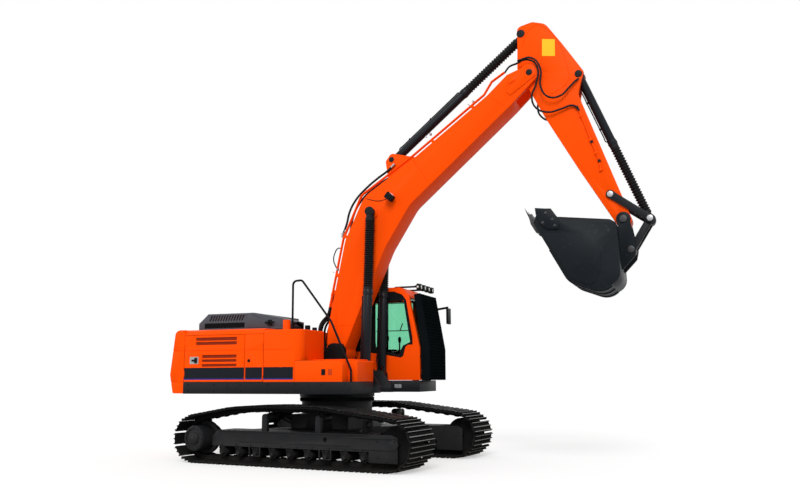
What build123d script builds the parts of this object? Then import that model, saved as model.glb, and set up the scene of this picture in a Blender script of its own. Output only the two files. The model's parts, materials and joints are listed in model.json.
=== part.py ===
"""Crawler excavator in millimetres: boom raised, arm hanging, bucket curled.

The origin is on the ground in the middle of the machine's box. +X points
forward along the boom, +Y to the cab's side and +Z up.
"""

import os
from math import atan2, cos, degrees, hypot, radians, sin

from build123d import *

os.makedirs("parts", exist_ok=True)

# Stance
swing_x = -1287.0          # swing axis, measured from the middle of the machine's box
track_turn = -7.2          # degrees the undercarriage is turned under the upper body
running_gap = 0.3          # clearance of a pin in its bore and of a door on its seat
side_play = 5.0            # clearance between parts that swing past each other

# Undercarriage
track_gauge = 2390.0       # between the middles of the tracks
shoe_width = 800.0
wheel_span = 3650.0        # sprocket axle to idler axle
wheel_offset = 15.0        # middle of the wheel span, ahead of the swing axis
loop_radius = 390.0        # axle to the tips of the track shoes
grouser_height = 26.0
shoe_plate = 12.0
link_height = 78.0
link_width = 180.0
link_side = 30.0
sprocket_x = wheel_offset - wheel_span / 2
idler_x = wheel_offset + wheel_span / 2
top_run = [(sprocket_x + 845.0, 918.0), (-420.0, 936.0), (idler_x - 1280.0, 930.0)]   # x, z of the upper side
shoe_count = 49
pin_depth = 77.0           # chain pins under the tips of the track shoes
shoe_foot = 39.0           # underside of the shoes above the chain pins
shoe_half_pitch = 92.0
final_drive_radius = 205.0
frame_rear, frame_front = sprocket_x + 290.0, idler_x - 420.0
frame_bottom, frame_top = 280.0, 530.0
frame_half_width = 215.0
guard_front, guard_bottom = idler_x + 60.0, 125.0
guard_plate = 22.0
rib_depth = 14.0           # lips and ribs on the outer side of a side frame
roller_radius = 78.0
roller_count = 9
roller_first, roller_last = sprocket_x + 502.0, idler_x - 510.0
roller_half_length = 190.0
guarded_rollers = [2, 6]
carrier_x = [-480.0, idler_x - 1310.0]
carrier_radius = 58.0
carbody_half = 560.0
carbody_bottom, carbody_top = 430.0, 960.0
leg_top = 760.0
tow_x, tow_z = 640.0, 580.0
tow_radius, tow_half_width = 32.0, 30.0

# Swing bearing and upper frame
bearing_radius = 640.0
bearing_height = 85.0
deck_bottom = 1110.0
deck_top = 1300.0
nose_top = 1195.0
nose_front = 900.0
half_width = 1355.0
body_rear = -2185.0
web_inner, web_outer = 245.0, 275.0
web_rear = -380.0
ram_lug_radius = 88.0
ram_lug_outer = 430.0
cab_front = 1350.0
front_step = 850.0
notch_rear, notch_half = 640.0, 243.0    # opening in the nose that the lowered boom dips into

# Counterweight: radius and height of its rear face
tail_bulge_radius = 2800.0
tail_bulge_z = 1420.0
tail_bottom_radius = 2745.0
tail_top_radius = 2725.0
tail_top = 2160.0
tail_bottom = 1115.0
tail_corner = 90.0
tail_cut = -tail_bulge_radius - 200      # behind the whole counterweight

# Body panels
body_top = 2160.0
panel_wall = 40.0
panel_gap = 10.0
shoulder = 90.0
rear_panel_front = -1035.0
pump_panel_front = -690.0
tank_front = 0.0
tank_top = 2130.0
tank_inner = -520.0
toolbox_rear = -120.0
toolbox_top = 1630.0
toolbox_front = 700.0
toolbox_split = -half_width + 245.0
toolbox_inner = -455.0
door_bottom = 1305.0
hood_rear, hood_front = -2200.0, -400.0
hood_right, hood_left = -half_width + 425.0, half_width - 655.0
hood_top = 2450.0
hood_wall = 30.0
hood_foot_z = hood_top - 160.0           # front and rear ends of the hood
hood_step_z = hood_top - 105.0
hood_knees = (-2020.0, -1120.0, -600.0)  # x of the bends in the hood's top
hood_nose_left = hood_right + 430.0      # the hood's front part covers the right side alone
louvre_count, louvre_pitch, louvre_width = 13, 52.0, 24.0
stub_x, stub_y = -430.0, -half_width + 295.0
stub_radius, stub_top = 60.0, 2300.0
left_panel_split = -1290.0
left_panel_front = -400.0
knuckle_radius, knuckle_half, knuckle_inset = 7.0, 45.0, 130.0    # hinges of the side panels
hood_hinge_z, hood_hinge_radius = 2275.0, 12.0
lid_thickness, lid_hinge_radius = 22.0, 10.5
engine_low = (-2050.0, -620.0, 1320.0)
engine_high = (-1050.0, 420.0, 2080.0)

# Cab
cab_right, cab_left = 455.0, half_width
cab_rear = -350.0
cab_wall = 45.0
cab_bottom = 1310.0
cab_roof = 2930.0
cab_front_foot = (cab_front, cab_bottom)
cab_front_knee = (cab_front, 1850.0)
cab_front_head = (cab_front - 200.0, 2780.0)
cab_roof_front = cab_front - 350.0
glass_thickness = 8.0
pane_foot, pane_top = cab_bottom + 190.0, cab_roof - 185.0    # windscreen
cab_mount_radius, cab_mount_inset = 60.0, 120.0    # rubber mounts under the cab
guard_stand_off, guard_head_stand_off = 35.0, 105.0
guard_depth, guard_head_depth = 145.0, 105.0
lamp_bar_x = cab_front - 100.0

# Boom
foot_x, foot_z = 60.0, 1775.0
boom_angle = 52.55
boom_length = 5700.0
boom_half_width = 235.0
foot_radius = 185.0
foot_pin = 50.0
tip_radius = 155.0
tip_pin = 45.0
tip_gap = 172.0            # half the space between the boom's tip ears
fork_root = boom_length - 515.0          # where the space between the ears begins
boom_top_line = [(240.0, 360.0), (1640.0, 1030.0), (2440.0, 1205.0), (3480.0, 840.0), (boom_length - 690, 385.0),
                 (boom_length - 220, 300.0)]
boom_under_line = [(boom_length - 610, -60.0), (2790.0, 418.0), (1960.0, 345.0), (960.0, 105.0), (150.0, -100.0)]
ram_pin_at = (2312.0, 890.0)
lamp_at = (2712.0, 753.0)
pipe_radius, pipe_y, pipe_pitch = 14.0, 187.0, 32.0
pipe_rise = 60.0           # middle of a pipe over the boom's upper side
pipe_start = 520.0
pipe_line = [(1640.0, 1030.0 + pipe_rise), (2440.0, 1205.0 + pipe_rise + 10), (3480.0, 840.0 + pipe_rise),
             (boom_length - 690, 385.0 + pipe_rise), (boom_length - 440, 465.0), (boom_length - 200, 372.0)]
clamp_x = [1077.0, 1700.0, 3897.0, boom_length - 962]
arm_ram_base_at = (3245.0, 1228.0)

# Arm
arm_angle = -61.6
arm_length = 2900.0
arm_half_width = 165.0
slot_half_width = 82.0     # slots that the cylinders' eyes work in
arm_ram_end_at = (-700.0, 225.0)
bucket_ram_base_at = (465.0, 640.0)
idler_pin_at = (arm_length - 451.0, 36.0)
idler_pin = 34.0
push_inner, push_outer = 100.0, 160.0
link_pin_at = (arm_length + 191.0, 341.0)

# Bucket, in axes that run from its pin towards the tooth tips
bucket_angle = 171.7
bucket_pin = 40.0
bucket_half_width = 600.0
bucket_wall = 25.0
bucket_link_at = (-163.0, 460.0)
ear_inner, ear_outer = 203.0, 243.0
tooth_count = 5
tooth_width = 70.0

# Cylinders: half spacing, barrel radius, rod radius, barrel length, rod tail inside
boom_ram_spacing = 360.0
boom_ram_base = (677.0, 1400.0)
boom_ram = dict(barrel=78.0, rod=45.0, gland=1425.0, tail=200.0, eye=72.0, half_eye=40.0, pin=40.0)
arm_ram = dict(barrel=75.0, rod=45.0, gland=1733.0, tail=530.0, eye=80.0, half_eye=75.0, pin=40.0)
bucket_ram = dict(barrel=66.0, rod=42.0, gland=1310.0, tail=85.0, eye=80.0, half_eye=75.0, pin=36.0)
bellows_wall = 21.0
fold_pitch, cuff_length = 62.0, 45.0     # folds and plain ends of the bellows
neck_length = 140.0        # flat neck between a boom cylinder's base eye and its tube


# Frames: x forward, y to the left, z up, each in its own body's axes
def tilted(x, z, angle):
    """A body's axes in the middle plane: x along the angle, y to the left."""
    turn = radians(angle)
    return Plane(origin=(x, 0, z), x_dir=(cos(turn), 0, sin(turn)), z_dir=(-sin(turn), 0, cos(turn)))


def side(frame, y):
    """The plane that looks at a body from its right, at a distance from its middle."""
    return Plane(origin=frame.origin + frame.y_dir * y, x_dir=frame.x_dir, z_dir=-frame.y_dir)


def level(frame, z):
    """The plane that looks down on a body at a height."""
    return Plane(origin=frame.origin + frame.z_dir * z, x_dir=frame.x_dir, z_dir=frame.z_dir)


def facing(frame, x):
    """The plane across a body at a distance forward; its x is the body's y."""
    return Plane(origin=frame.origin + frame.x_dir * x, x_dir=frame.y_dir, z_dir=frame.x_dir)


def plate(frame, outline, near, far, radius=0.0, mode=Mode.ADD):
    """A plate cut to a side outline, between two distances from the middle plane."""
    with BuildSketch(side(frame, far)) as face:
        with BuildLine():
            FilletPolyline(*outline, radius=radius, close=True)
        make_face()
    extrude(face.sketch, amount=far - near, mode=mode)


def drum(frame, centre, radius, near, far, mode=Mode.ADD):
    """A round boss, pin or bore across a body."""
    with BuildSketch(side(frame, far)) as face:
        with Locations(centre):
            Circle(radius)
    extrude(face.sketch, amount=far - near, mode=mode)


def block(frame, low, high, mode=Mode.ADD):
    """A box between two corners in a body's axes."""
    with BuildSketch(level(frame, low[2])) as base:
        with Locations(((low[0] + high[0]) / 2, (low[1] + high[1]) / 2)):
            Rectangle(high[0] - low[0], high[1] - low[1])
    extrude(base.sketch, amount=high[2] - low[2], mode=mode)


def slab(frame, outline, bottom, top, radius=0.0, mode=Mode.ADD):
    """A plate cut to an outline seen from above, between two heights."""
    with BuildSketch(level(frame, bottom)) as base:
        with BuildLine():
            FilletPolyline(*outline, radius=radius, close=True)
        make_face()
    extrude(base.sketch, amount=top - bottom, mode=mode)


def upright(frame, centre, radius, bottom, top, mode=Mode.ADD):
    """A standing round post."""
    with BuildSketch(level(frame, bottom)) as base:
        with Locations(centre):
            Circle(radius)
    extrude(base.sketch, amount=top - bottom, mode=mode)


def place(frame, point):
    """World x and z of a point given in a body's axes."""
    spot = frame.origin + frame.x_dir * point[0] + frame.z_dir * point[1]
    return spot.X, spot.Z


def height_on(line, x):
    """Height of a bent line at a distance forward."""
    for (x1, z1), (x2, z2) in zip(line, line[1:]):
        if x1 <= x <= x2:
            return z1 + (z2 - z1) * (x - x1) / (x2 - x1)


def save(piece, name):
    piece.part.label = name
    export_step(piece.part, f"parts/{name}.step")


upper = Plane(origin=(swing_x, 0, 0))
turn = radians(track_turn)
lower = Plane(origin=(swing_x, 0, 0), x_dir=(cos(turn), sin(turn), 0), z_dir=(0, 0, 1))
boom_frame = tilted(swing_x + foot_x, foot_z, boom_angle)
arm_frame = tilted(*place(boom_frame, (boom_length, 0)), arm_angle)
bucket_frame = tilted(*place(arm_frame, (arm_length, 0)), bucket_angle)

track_y = track_gauge / 2
hands = {"right": -1, "left": 1}
link_outer = loop_radius - grouser_height - shoe_plate
link_inner = link_outer - link_height


# Lower rollers
roller_z = loop_radius - link_inner + roller_radius + running_gap


def roller_x(n):
    return roller_first + (roller_last - roller_first) * n / (roller_count - 1)


# Tracks: shoes and links in one closed loop
def track_loop(radius, y_near, y_far, mode=Mode.ADD):
    """The track's loop at a distance from its wheels' axles, filled."""
    with BuildSketch(side(lower, y_far)) as face:
        with Locations((sprocket_x, loop_radius), (idler_x, loop_radius)):
            Circle(radius)
        for x, z in top_run:
            with Locations((x, z - loop_radius)):
                Circle(radius)
        make_hull()
    extrude(face.sketch, amount=y_far - y_near, mode=mode)


# The chain's pins lie on the hull of five wheels; every shoe is straight between two of them
pin_radius = loop_radius - pin_depth
wheels = [(sprocket_x, loop_radius), (idler_x, loop_radius)] + [(x, z - loop_radius) for x, z in top_run]


def reach(turn):
    """How far the chain's pins lie out in a direction, and the wheel that they go round there."""
    return max((x * cos(turn) + z * sin(turn) + pin_radius, x, z) for x, z in wheels)


def chain_pins():
    """The places of the chain's pins, evenly spaced round the loop."""
    turns = [radians(step / 4) for step in range(1440)]
    line = [(reach(turn)[1] + pin_radius * cos(turn), reach(turn)[2] + pin_radius * sin(turn)) for turn in turns]
    lengths = [hypot(line[i][0] - line[i - 1][0], line[i][1] - line[i - 1][1]) for i in range(len(line))]
    pitch, travelled, pins = sum(lengths) / shoe_count, 0.0, []
    for i, length in enumerate(lengths):
        while len(pins) < shoe_count and travelled + length > len(pins) * pitch:
            part = (len(pins) * pitch - travelled) / length
            pins.append(tuple(line[i - 1][k] + (line[i][k] - line[i - 1][k]) * part for k in (0, 1)))
        travelled += length
    return pins


def chain_outline(profile):
    """A closed outline round the chain: the profile's points repeat on every shoe, along it and out from its pins."""
    points, pins = [], chain_pins()
    for i, (x, z) in enumerate(pins):
        back_x, back_z = pins[i - 1]
        length = hypot(x - back_x, z - back_z)
        along = ((x - back_x) / length, (z - back_z) / length)
        for step, out in profile:
            points.append(((x + back_x) / 2 + along[0] * step + along[1] * out,
                           (z + back_z) / 2 + along[1] * step - along[0] * out))
    return points


def chain_ring(profile, y_near, y_far, mode=Mode.ADD):
    """A solid inside such an outline, between two distances from the machine's middle."""
    with BuildSketch(side(lower, y_far)) as face:
        with BuildLine():
            Polyline(*chain_outline(profile), close=True)
        make_face()
    extrude(face.sketch, amount=y_far - y_near, mode=mode)


plate_top, tip = pin_depth - grouser_height, pin_depth
shoe_profile = [(-shoe_half_pitch, plate_top), (-82, tip), (-72, tip), (-64, plate_top), (-7, plate_top), (0, tip),
                (7, plate_top), (64, plate_top), (72, tip), (82, tip), (shoe_half_pitch, plate_top)]
for hand, sign in hands.items():
    middle = sign * track_y
    with BuildPart() as track:
        chain_ring(shoe_profile, middle - shoe_width / 2, middle + shoe_width / 2)
        chain_ring([(0, shoe_foot)], middle - shoe_width / 2, middle + shoe_width / 2, Mode.SUBTRACT)
        chain_ring([(0, shoe_foot + 4)], middle - link_width / 2, middle + link_width / 2)
        track_loop(link_inner, middle - link_width / 2, middle + link_width / 2, Mode.SUBTRACT)
    save(track, f"track_{hand}")

    # Side frame with its idler guards and the plate that carries the final drive
    with BuildPart() as track_frame:
        outline = [(frame_rear, frame_bottom), (frame_front, frame_bottom), (frame_front, frame_top),
                   (frame_rear + 120, frame_top), (frame_rear, frame_top - 90)]
        plate(lower, outline, middle - frame_half_width, middle + frame_half_width)
        for edge in (-1, 1):
            inner = middle + edge * frame_half_width
            near, far = sorted((inner, inner - edge * guard_plate))
            guard = [(frame_front, guard_bottom), (guard_front, guard_bottom), (guard_front, frame_top - 40),
                     (guard_front - 90, frame_top), (frame_front, frame_top)]
            plate(lower, guard, near, far)
            drum(lower, (idler_x, loop_radius), 50, near, far)
        outer = middle + sign * frame_half_width
        near, far = sorted((outer, outer + sign * rib_depth))
        block(lower, (frame_rear + 130, near, frame_top - 16), (frame_front, far, frame_top))
        block(lower, (frame_rear + 20, near, frame_bottom), (frame_front, far, frame_bottom + 16))
        for z in (frame_bottom + 30, frame_top - 60):
            block(lower, (frame_front - 260, near, z), (guard_front - 30, far, z + 22))
        near, far = sorted((outer + sign, outer - sign * 60))
        drum(lower, (frame_front - 760, frame_bottom + 150), 36, near, far, Mode.SUBTRACT)
        for n in guarded_rollers:
            near, far = sorted((outer - sign * 14, outer + sign * 22))
            block(lower, (roller_x(n) - 110, near, roller_z - 60), (roller_x(n) + 110, far, roller_z - 44))
            for end in (-110, 94):
                block(lower, (roller_x(n) + end, near, roller_z - 60), (roller_x(n) + end + 16, far, frame_bottom + 5))
        motor_side = middle - sign * frame_half_width
        near, far = sorted((motor_side, motor_side + sign * 60))
        bracket = [(sprocket_x - 120, loop_radius - 160), (frame_rear, frame_bottom), (frame_rear, frame_top - 90),
                   (sprocket_x - 60, loop_radius + 190), (sprocket_x - 150, loop_radius + 120)]
        plate(lower, bracket, near, far)
    save(track_frame, f"track_frame_{hand}")

# Final drives: sprocket disc and the round hub that shows inside the track
with BuildPart() as final_drives:
    for sign in hands.values():
        middle = sign * track_y
        hub_in = middle - sign * (frame_half_width - 60)
        hub_out = middle + sign * 330
        drum(lower, (sprocket_x, loop_radius), final_drive_radius, *sorted((hub_in, hub_out)))
        drum(lower, (sprocket_x, loop_radius), link_inner - side_play, middle - link_side, middle + link_side)
save(final_drives, "final_drives")

with BuildPart() as idlers:
    for sign in hands.values():
        middle = sign * track_y
        drum(lower, (idler_x, loop_radius), link_inner - running_gap, middle - link_width / 2, middle + link_width / 2)
        drum(lower, (idler_x, loop_radius), 50, middle - frame_half_width + guard_plate,
             middle + frame_half_width - guard_plate)
save(idlers, "idlers")

with BuildPart() as track_rollers:
    for sign in hands.values():
        middle = sign * track_y
        for n in range(roller_count):
            x = roller_x(n)
            drum(lower, (x, roller_z), roller_radius, middle - roller_half_length, middle + roller_half_length)
            for edge in (-1, 1):
                foot = middle + edge * (roller_half_length + 12)
                block(lower, (x - 60, foot - 12, roller_z - 30), (x + 60, foot + 12, frame_bottom))
                near, far = sorted((foot, foot + edge * 24))
                drum(lower, (x, roller_z), 42, near, far)
save(track_rollers, "track_rollers")

with BuildPart() as carrier_rollers:
    for sign in hands.values():
        middle = sign * track_y
        for x in carrier_x:
            under = [z for low_x, z in top_run if abs(low_x - x) == min(abs(a - x) for a, b in top_run)][0]
            z = under - (loop_radius - link_inner) - carrier_radius - 12
            drum(lower, (x, z), carrier_radius, middle - 110, middle + 110)
            near, far = sorted((middle, middle + sign * frame_half_width))
            drum(lower, (x, z), 26, near, far)
            near, far = sorted((middle + sign * 150, middle + sign * frame_half_width))
            block(lower, (x - 50, near, frame_top), (x + 50, far, z))
            drum(lower, (x, z), 50, near, far)
save(carrier_rollers, "carrier_rollers")

# Centre frame between the tracks, with four legs and a drum under the swing bearing
with BuildPart() as carbody:
    block(lower, (-carbody_half, -carbody_half, carbody_bottom), (carbody_half, carbody_half, leg_top))
    upright(lower, (0, 0), bearing_radius - 40, carbody_bottom, carbody_top)
    leg_end = track_y - frame_half_width
    for fore in (-1, 1):
        for hand in (-1, 1):
            leg = [(fore * 150, hand * 300), (fore * carbody_half, hand * 100), (fore * 1020, hand * leg_end),
                   (fore * 480, hand * leg_end)]
            slab(lower, leg, carbody_bottom, leg_top - 230)
    block(lower, (carbody_half, -tow_half_width, tow_z - 60), (tow_x + 60, tow_half_width, tow_z + 60))
    drum(lower, (tow_x, tow_z), tow_radius, -tow_half_width - 1, tow_half_width + 1, Mode.SUBTRACT)
save(carbody, "carbody")

with BuildPart() as swing_bearing:
    upright(lower, (0, 0), bearing_radius - 20, carbody_top, carbody_top + bearing_height)
    upright(lower, (0, 0), bearing_radius - 190, carbody_top, carbody_top + bearing_height, Mode.SUBTRACT)
save(swing_bearing, "swing_bearing")

# Upper frame: deck, turntable, boom brackets and cylinder lugs
with BuildPart() as upper_frame:
    upright(upper, (0, 0), bearing_radius, carbody_top + bearing_height + running_gap, deck_bottom)
    deck = [(body_rear, -half_width), (front_step, -half_width), (front_step, toolbox_inner), (nose_front, -420),
            (nose_front, 440), (cab_front, 440), (cab_front, half_width), (body_rear, half_width)]
    slab(upper, deck, deck_bottom, nose_top)
    block(upper, (body_rear, -half_width, nose_top), (front_step, toolbox_inner + 10, deck_top))
    block(upper, (body_rear, toolbox_inner + 10, nose_top), (-350, 440, deck_top))
    block(upper, (body_rear, 440, nose_top), (cab_front, half_width, deck_top))
    block(upper, (notch_rear, -notch_half, deck_bottom - 1), (nose_front + 1, notch_half, nose_top + 1), Mode.SUBTRACT)
    web = [(web_rear, nose_top), (nose_front, nose_top), (nose_front, 1230), (745, 1450), (600, 1480), (260, 1620),
           (foot_x + 130, foot_z + 110), (foot_x, foot_z + 170), (foot_x - 140, foot_z + 90), (web_rear, 1400)]
    for hand in (-1, 1):
        near, far = sorted((hand * web_inner, hand * web_outer))
        plate(upper, web, near, far)
        near, far = sorted((hand * (web_outer), hand * (boom_ram_spacing - boom_ram["half_eye"] - side_play)))
        drum(upper, boom_ram_base, ram_lug_radius, near, far)
        near, far = sorted((hand * (boom_ram_spacing + boom_ram["half_eye"] + side_play), hand * ram_lug_outer))
        lug = [(boom_ram_base[0] - ram_lug_radius, nose_top), (boom_ram_base[0] + ram_lug_radius, nose_top),
               (boom_ram_base[0] + ram_lug_radius, boom_ram_base[1]),
               (boom_ram_base[0] - ram_lug_radius, boom_ram_base[1])]
        plate(upper, lug, near, far)
        drum(upper, boom_ram_base, ram_lug_radius, near, far)
    for hand in (-1, 1):
        near, far = sorted((hand * web_inner, hand * ram_lug_outer))
        drum(upper, boom_ram_base, boom_ram["pin"], near, far)
    drum(upper, (foot_x, foot_z), foot_pin, -web_outer, web_outer)
    for x in (cab_rear + cab_mount_inset, cab_front_foot[0] - cab_mount_inset):
        for y in (cab_right + cab_mount_inset, cab_left - cab_mount_inset):
            upright(upper, (x, y), cab_mount_radius, deck_top, cab_bottom)
save(upper_frame, "upper_frame")

# Counterweight: a casting whose rear face is turned about the swing axis
with BuildPart() as counterweight:
    with BuildSketch(Plane(origin=(swing_x, 0, 0), x_dir=(1, 0, 0), z_dir=(0, -1, 0))) as profile:
        with BuildLine():
            FilletPolyline((1800, tail_bottom), (tail_bottom_radius, tail_bottom), (tail_bulge_radius, tail_bulge_z),
                           (tail_top_radius, tail_top), (1800, tail_top), close=True,
                           radius=[0, 30, 150, tail_corner, 0])
        make_face()
    revolve(profile.sketch, axis=Axis((swing_x, 0, 0), (0, 0, 1)), revolution_arc=360)
    with BuildSketch(level(upper, 0)) as keep:
        with BuildLine():
            Polyline((body_rear, -half_width), (body_rear, half_width), (tail_cut, half_width), (tail_cut, -half_width),
                     close=True)
        make_face()
    extrude(keep.sketch, amount=-tail_cut, mode=Mode.INTERSECT)
save(counterweight, "counterweight")

with BuildPart() as engine:
    block(upper, engine_low, engine_high)
    block(upper, (engine_low[0], engine_low[1], deck_top), (engine_high[0], engine_high[1], engine_low[2]))
save(engine, "engine")

# Body housing: deck, rear bulkhead, posts and the frames that the side panels close on
with BuildPart() as body_housing:
    inner_y = half_width - panel_wall
    panel_top = body_top - shoulder
    outline = [(-half_width, panel_top), (-half_width + 25, body_top - 25), (-half_width + shoulder, body_top),
               (half_width - shoulder, body_top), (half_width - 25, body_top - 25), (half_width, panel_top),
               (inner_y, panel_top), (inner_y, body_top - 60), (-inner_y, body_top - 60), (-inner_y, panel_top)]
    with BuildSketch(facing(upper, body_rear)) as section:
        with BuildLine():
            Polyline(*outline, close=True)
        make_face()
    extrude(section.sketch, amount=left_panel_front - body_rear)
    block(upper, (pump_panel_front, -half_width - 10, 1290), (left_panel_front + 10, tank_inner, 2200), Mode.SUBTRACT)
    block(upper, (body_rear, -inner_y, deck_top), (body_rear + 40, inner_y, body_top - 60))
    block(upper, (pump_panel_front - 40, -inner_y, deck_top), (pump_panel_front, tank_inner, body_top - 60))
    block(upper, (left_panel_front - 40, tank_inner, deck_top), (left_panel_front, inner_y, body_top - 60))
    block(upper, (left_panel_split - 20, 560, deck_top), (left_panel_split + 20, inner_y, body_top - 60))
    block(upper, (rear_panel_front - 20, -inner_y, deck_top), (rear_panel_front + 20, -700, body_top - 60))
save(body_housing, "body_housing")

# Fuel tank and the tool box with its steps in front of it
with BuildPart() as fuel_tank:
    tank = [(pump_panel_front + panel_gap, -half_width), (tank_front, -half_width), (tank_front, tank_inner),
            (pump_panel_front + panel_gap, tank_inner)]
    slab(upper, tank, deck_top, tank_top, radius=[0, 130, 40, 0])
    fillet(fuel_tank.faces().sort_by(Axis.Z)[-1].edges(), 22)
    block(upper, (toolbox_rear - side_play, -half_width - 1, deck_top - 1),
          (tank_front + 1, toolbox_split + side_play, toolbox_top + side_play), Mode.SUBTRACT)
    upright(upper, (stub_x, stub_y), stub_radius, tank_top - 30, stub_top)
    upright(upper, (stub_x, stub_y), stub_radius - 14, stub_top - 90, stub_top, Mode.SUBTRACT)
save(fuel_tank, "fuel_tank")

with BuildPart() as toolbox:
    outer_box = [(toolbox_rear, deck_top), (toolbox_front, deck_top), (toolbox_front, toolbox_top),
                 (toolbox_rear, toolbox_top)]
    plate(upper, outer_box, -half_width, toolbox_split, radius=[0, 0, 90, 0])
    inner_box = [(tank_front + side_play, deck_top), (front_step, deck_top), (front_step, toolbox_top),
                 (tank_front + side_play, toolbox_top)]
    plate(upper, inner_box, toolbox_split, toolbox_inner, radius=[0, 0, 30, 0])
    block(upper, (tank_front + 60, toolbox_split + 60, deck_top + 120),
          (front_step - 90, toolbox_inner - 60, toolbox_top + 1), Mode.SUBTRACT)
save(toolbox, "toolbox")

with BuildPart() as toolbox_lid:
    lid_low = (tank_front + 50, toolbox_split + 50, toolbox_top + running_gap)
    lid_high = (front_step - 80, toolbox_inner - 50, toolbox_top + lid_thickness)
    block(upper, lid_low, lid_high)
    hinge_y, hinge_z = lid_high[1] + lid_hinge_radius, lid_low[2] + lid_hinge_radius
    for x in (lid_low[0] + 60, lid_high[0] - 160):
        with BuildSketch(facing(upper, x)) as knuckle:
            with Locations((hinge_y, hinge_z)):
                Circle(lid_hinge_radius)
        extrude(knuckle.sketch, amount=100)
        block(upper, (x, lid_high[1] - 20, lid_low[2]), (x + 100, hinge_y, hinge_z))
save(toolbox_lid, "toolbox_lid")

with BuildPart() as deck_fittings:
    for x, y, radius, height in [(-320, -900, 60, 70), (-190, -780, 45, 90), (-130, -640, 40, 60)]:
        upright(upper, (x, y), radius, tank_top, tank_top + height)
    cover = [(20, deck_top), (300, deck_top), (300, 1830), (240, 1930), (80, 1930), (20, 1890)]
    plate(upper, cover, toolbox_inner + side_play, -web_outer - 25, radius=[0, 0, 60, 50, 50, 30])
save(deck_fittings, "deck_fittings")

# Handrail: one bent tube from the tank's top down to the tool box's front
rail_y = -half_width + 155.0
rail_tube = 17.0
rail_points = [(-250, tank_top), (-250, 2915), (-90, 2925), (433, 2249), (782, 1480), (782, deck_top)]
with BuildPart() as handrail:
    with BuildLine() as route:
        FilletPolyline(*[side(upper, rail_y).from_local_coords((x, z, 0)) for x, z in rail_points],
                       radius=[70, 70, 300, 120])
    with BuildSketch(Plane(origin=route.line @ 0, z_dir=route.line % 0)):
        Circle(rail_tube)
    sweep()
save(handrail, "handrail")

# Side panels: solid doors as thick as the wall
grilles = ("right_rear_door", "left_rear_door")
grille_depth, grille_margin = 18.0, 145.0
grille_slots = [(1975.0, 2028.0, -1965.0), (1905.0, 1956.0, -1965.0), (1690.0, 1742.0, -1840.0),
                (1625.0, 1668.0, -1840.0), (1550.0, 1593.0, -1840.0)]    # bottom, top and rear end
panels = [
    ("right_rear_door", body_rear + panel_gap, rear_panel_front, -1),
    ("right_front_door", rear_panel_front + panel_gap, pump_panel_front, -1),
    ("left_rear_door", body_rear + panel_gap, left_panel_split, 1),
    ("left_front_door", left_panel_split + panel_gap, left_panel_front, 1),
]
for name, rear, front, hand in panels:
    with BuildPart() as panel:
        near, far = sorted((hand * (inner_y + running_gap), hand * half_width))
        block(upper, (rear, near, door_bottom), (front, far, panel_top - side_play))
        if name in grilles:
            skin = hand * (half_width - grille_depth)
            near, far = sorted((skin, hand * (half_width + 1)))
            for low, high, start in grille_slots:
                block(upper, (start, near, low), (front - grille_margin, far, high), Mode.SUBTRACT)
        hinge_x = front if name == "right_front_door" else rear
        for z in (door_bottom + knuckle_inset, panel_top - knuckle_inset):
            upright(upper, (hinge_x, hand * half_width), knuckle_radius, z - knuckle_half, z + knuckle_half)
    save(panel, name)

# Engine hood: a hollow dark cover that tips up about its front edge
with BuildPart() as engine_hood:
    outline = [(hood_rear, body_top + running_gap), (hood_front, body_top + running_gap), (hood_front, hood_foot_z),
               (hood_knees[2], hood_step_z), (hood_knees[1], hood_top), (hood_knees[0], hood_top),
               (hood_rear, hood_foot_z)]
    plate(upper, outline, hood_right, hood_left)
    block(upper, (hood_knees[1], hood_nose_left, body_top - 1), (hood_front + 1, hood_left + 1, hood_top + 1),
          Mode.SUBTRACT)
    rear_room = [(hood_rear + hood_wall, body_top - 1), (hood_knees[1] - hood_wall, body_top - 1),
                 (hood_knees[1] - hood_wall, hood_top - hood_wall), (hood_knees[0], hood_top - hood_wall),
                 (hood_rear + hood_wall, hood_foot_z - 10)]
    plate(upper, rear_room, hood_right + hood_wall, hood_left - hood_wall, mode=Mode.SUBTRACT)
    front_room = [(hood_knees[1], body_top - 1), (hood_front - hood_wall, body_top - 1),
                  (hood_front - hood_wall, hood_foot_z - hood_wall), (hood_knees[2], hood_step_z - hood_wall),
                  (hood_knees[1], hood_top - hood_wall)]
    plate(upper, front_room, hood_right + hood_wall, hood_nose_left - hood_wall, mode=Mode.SUBTRACT)
    for n in range(louvre_count):
        x = hood_knees[0] + louvre_pitch * (n + 0.5)
        slot = [(x, hood_step_z - 20), (x + louvre_width, hood_step_z - 20), (x + louvre_width + 45, hood_top - 30),
                (x + 45, hood_top - 30)]
        for wall in (hood_right - 1, hood_left - hood_wall - 1):
            plate(upper, slot, wall, wall + hood_wall + 2, mode=Mode.SUBTRACT)
    for y in (hood_right + 100, hood_nose_left - 100):
        drum(upper, (hood_front, hood_hinge_z), hood_hinge_radius, y - knuckle_half, y + knuckle_half)
save(engine_hood, "engine_hood")

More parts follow.
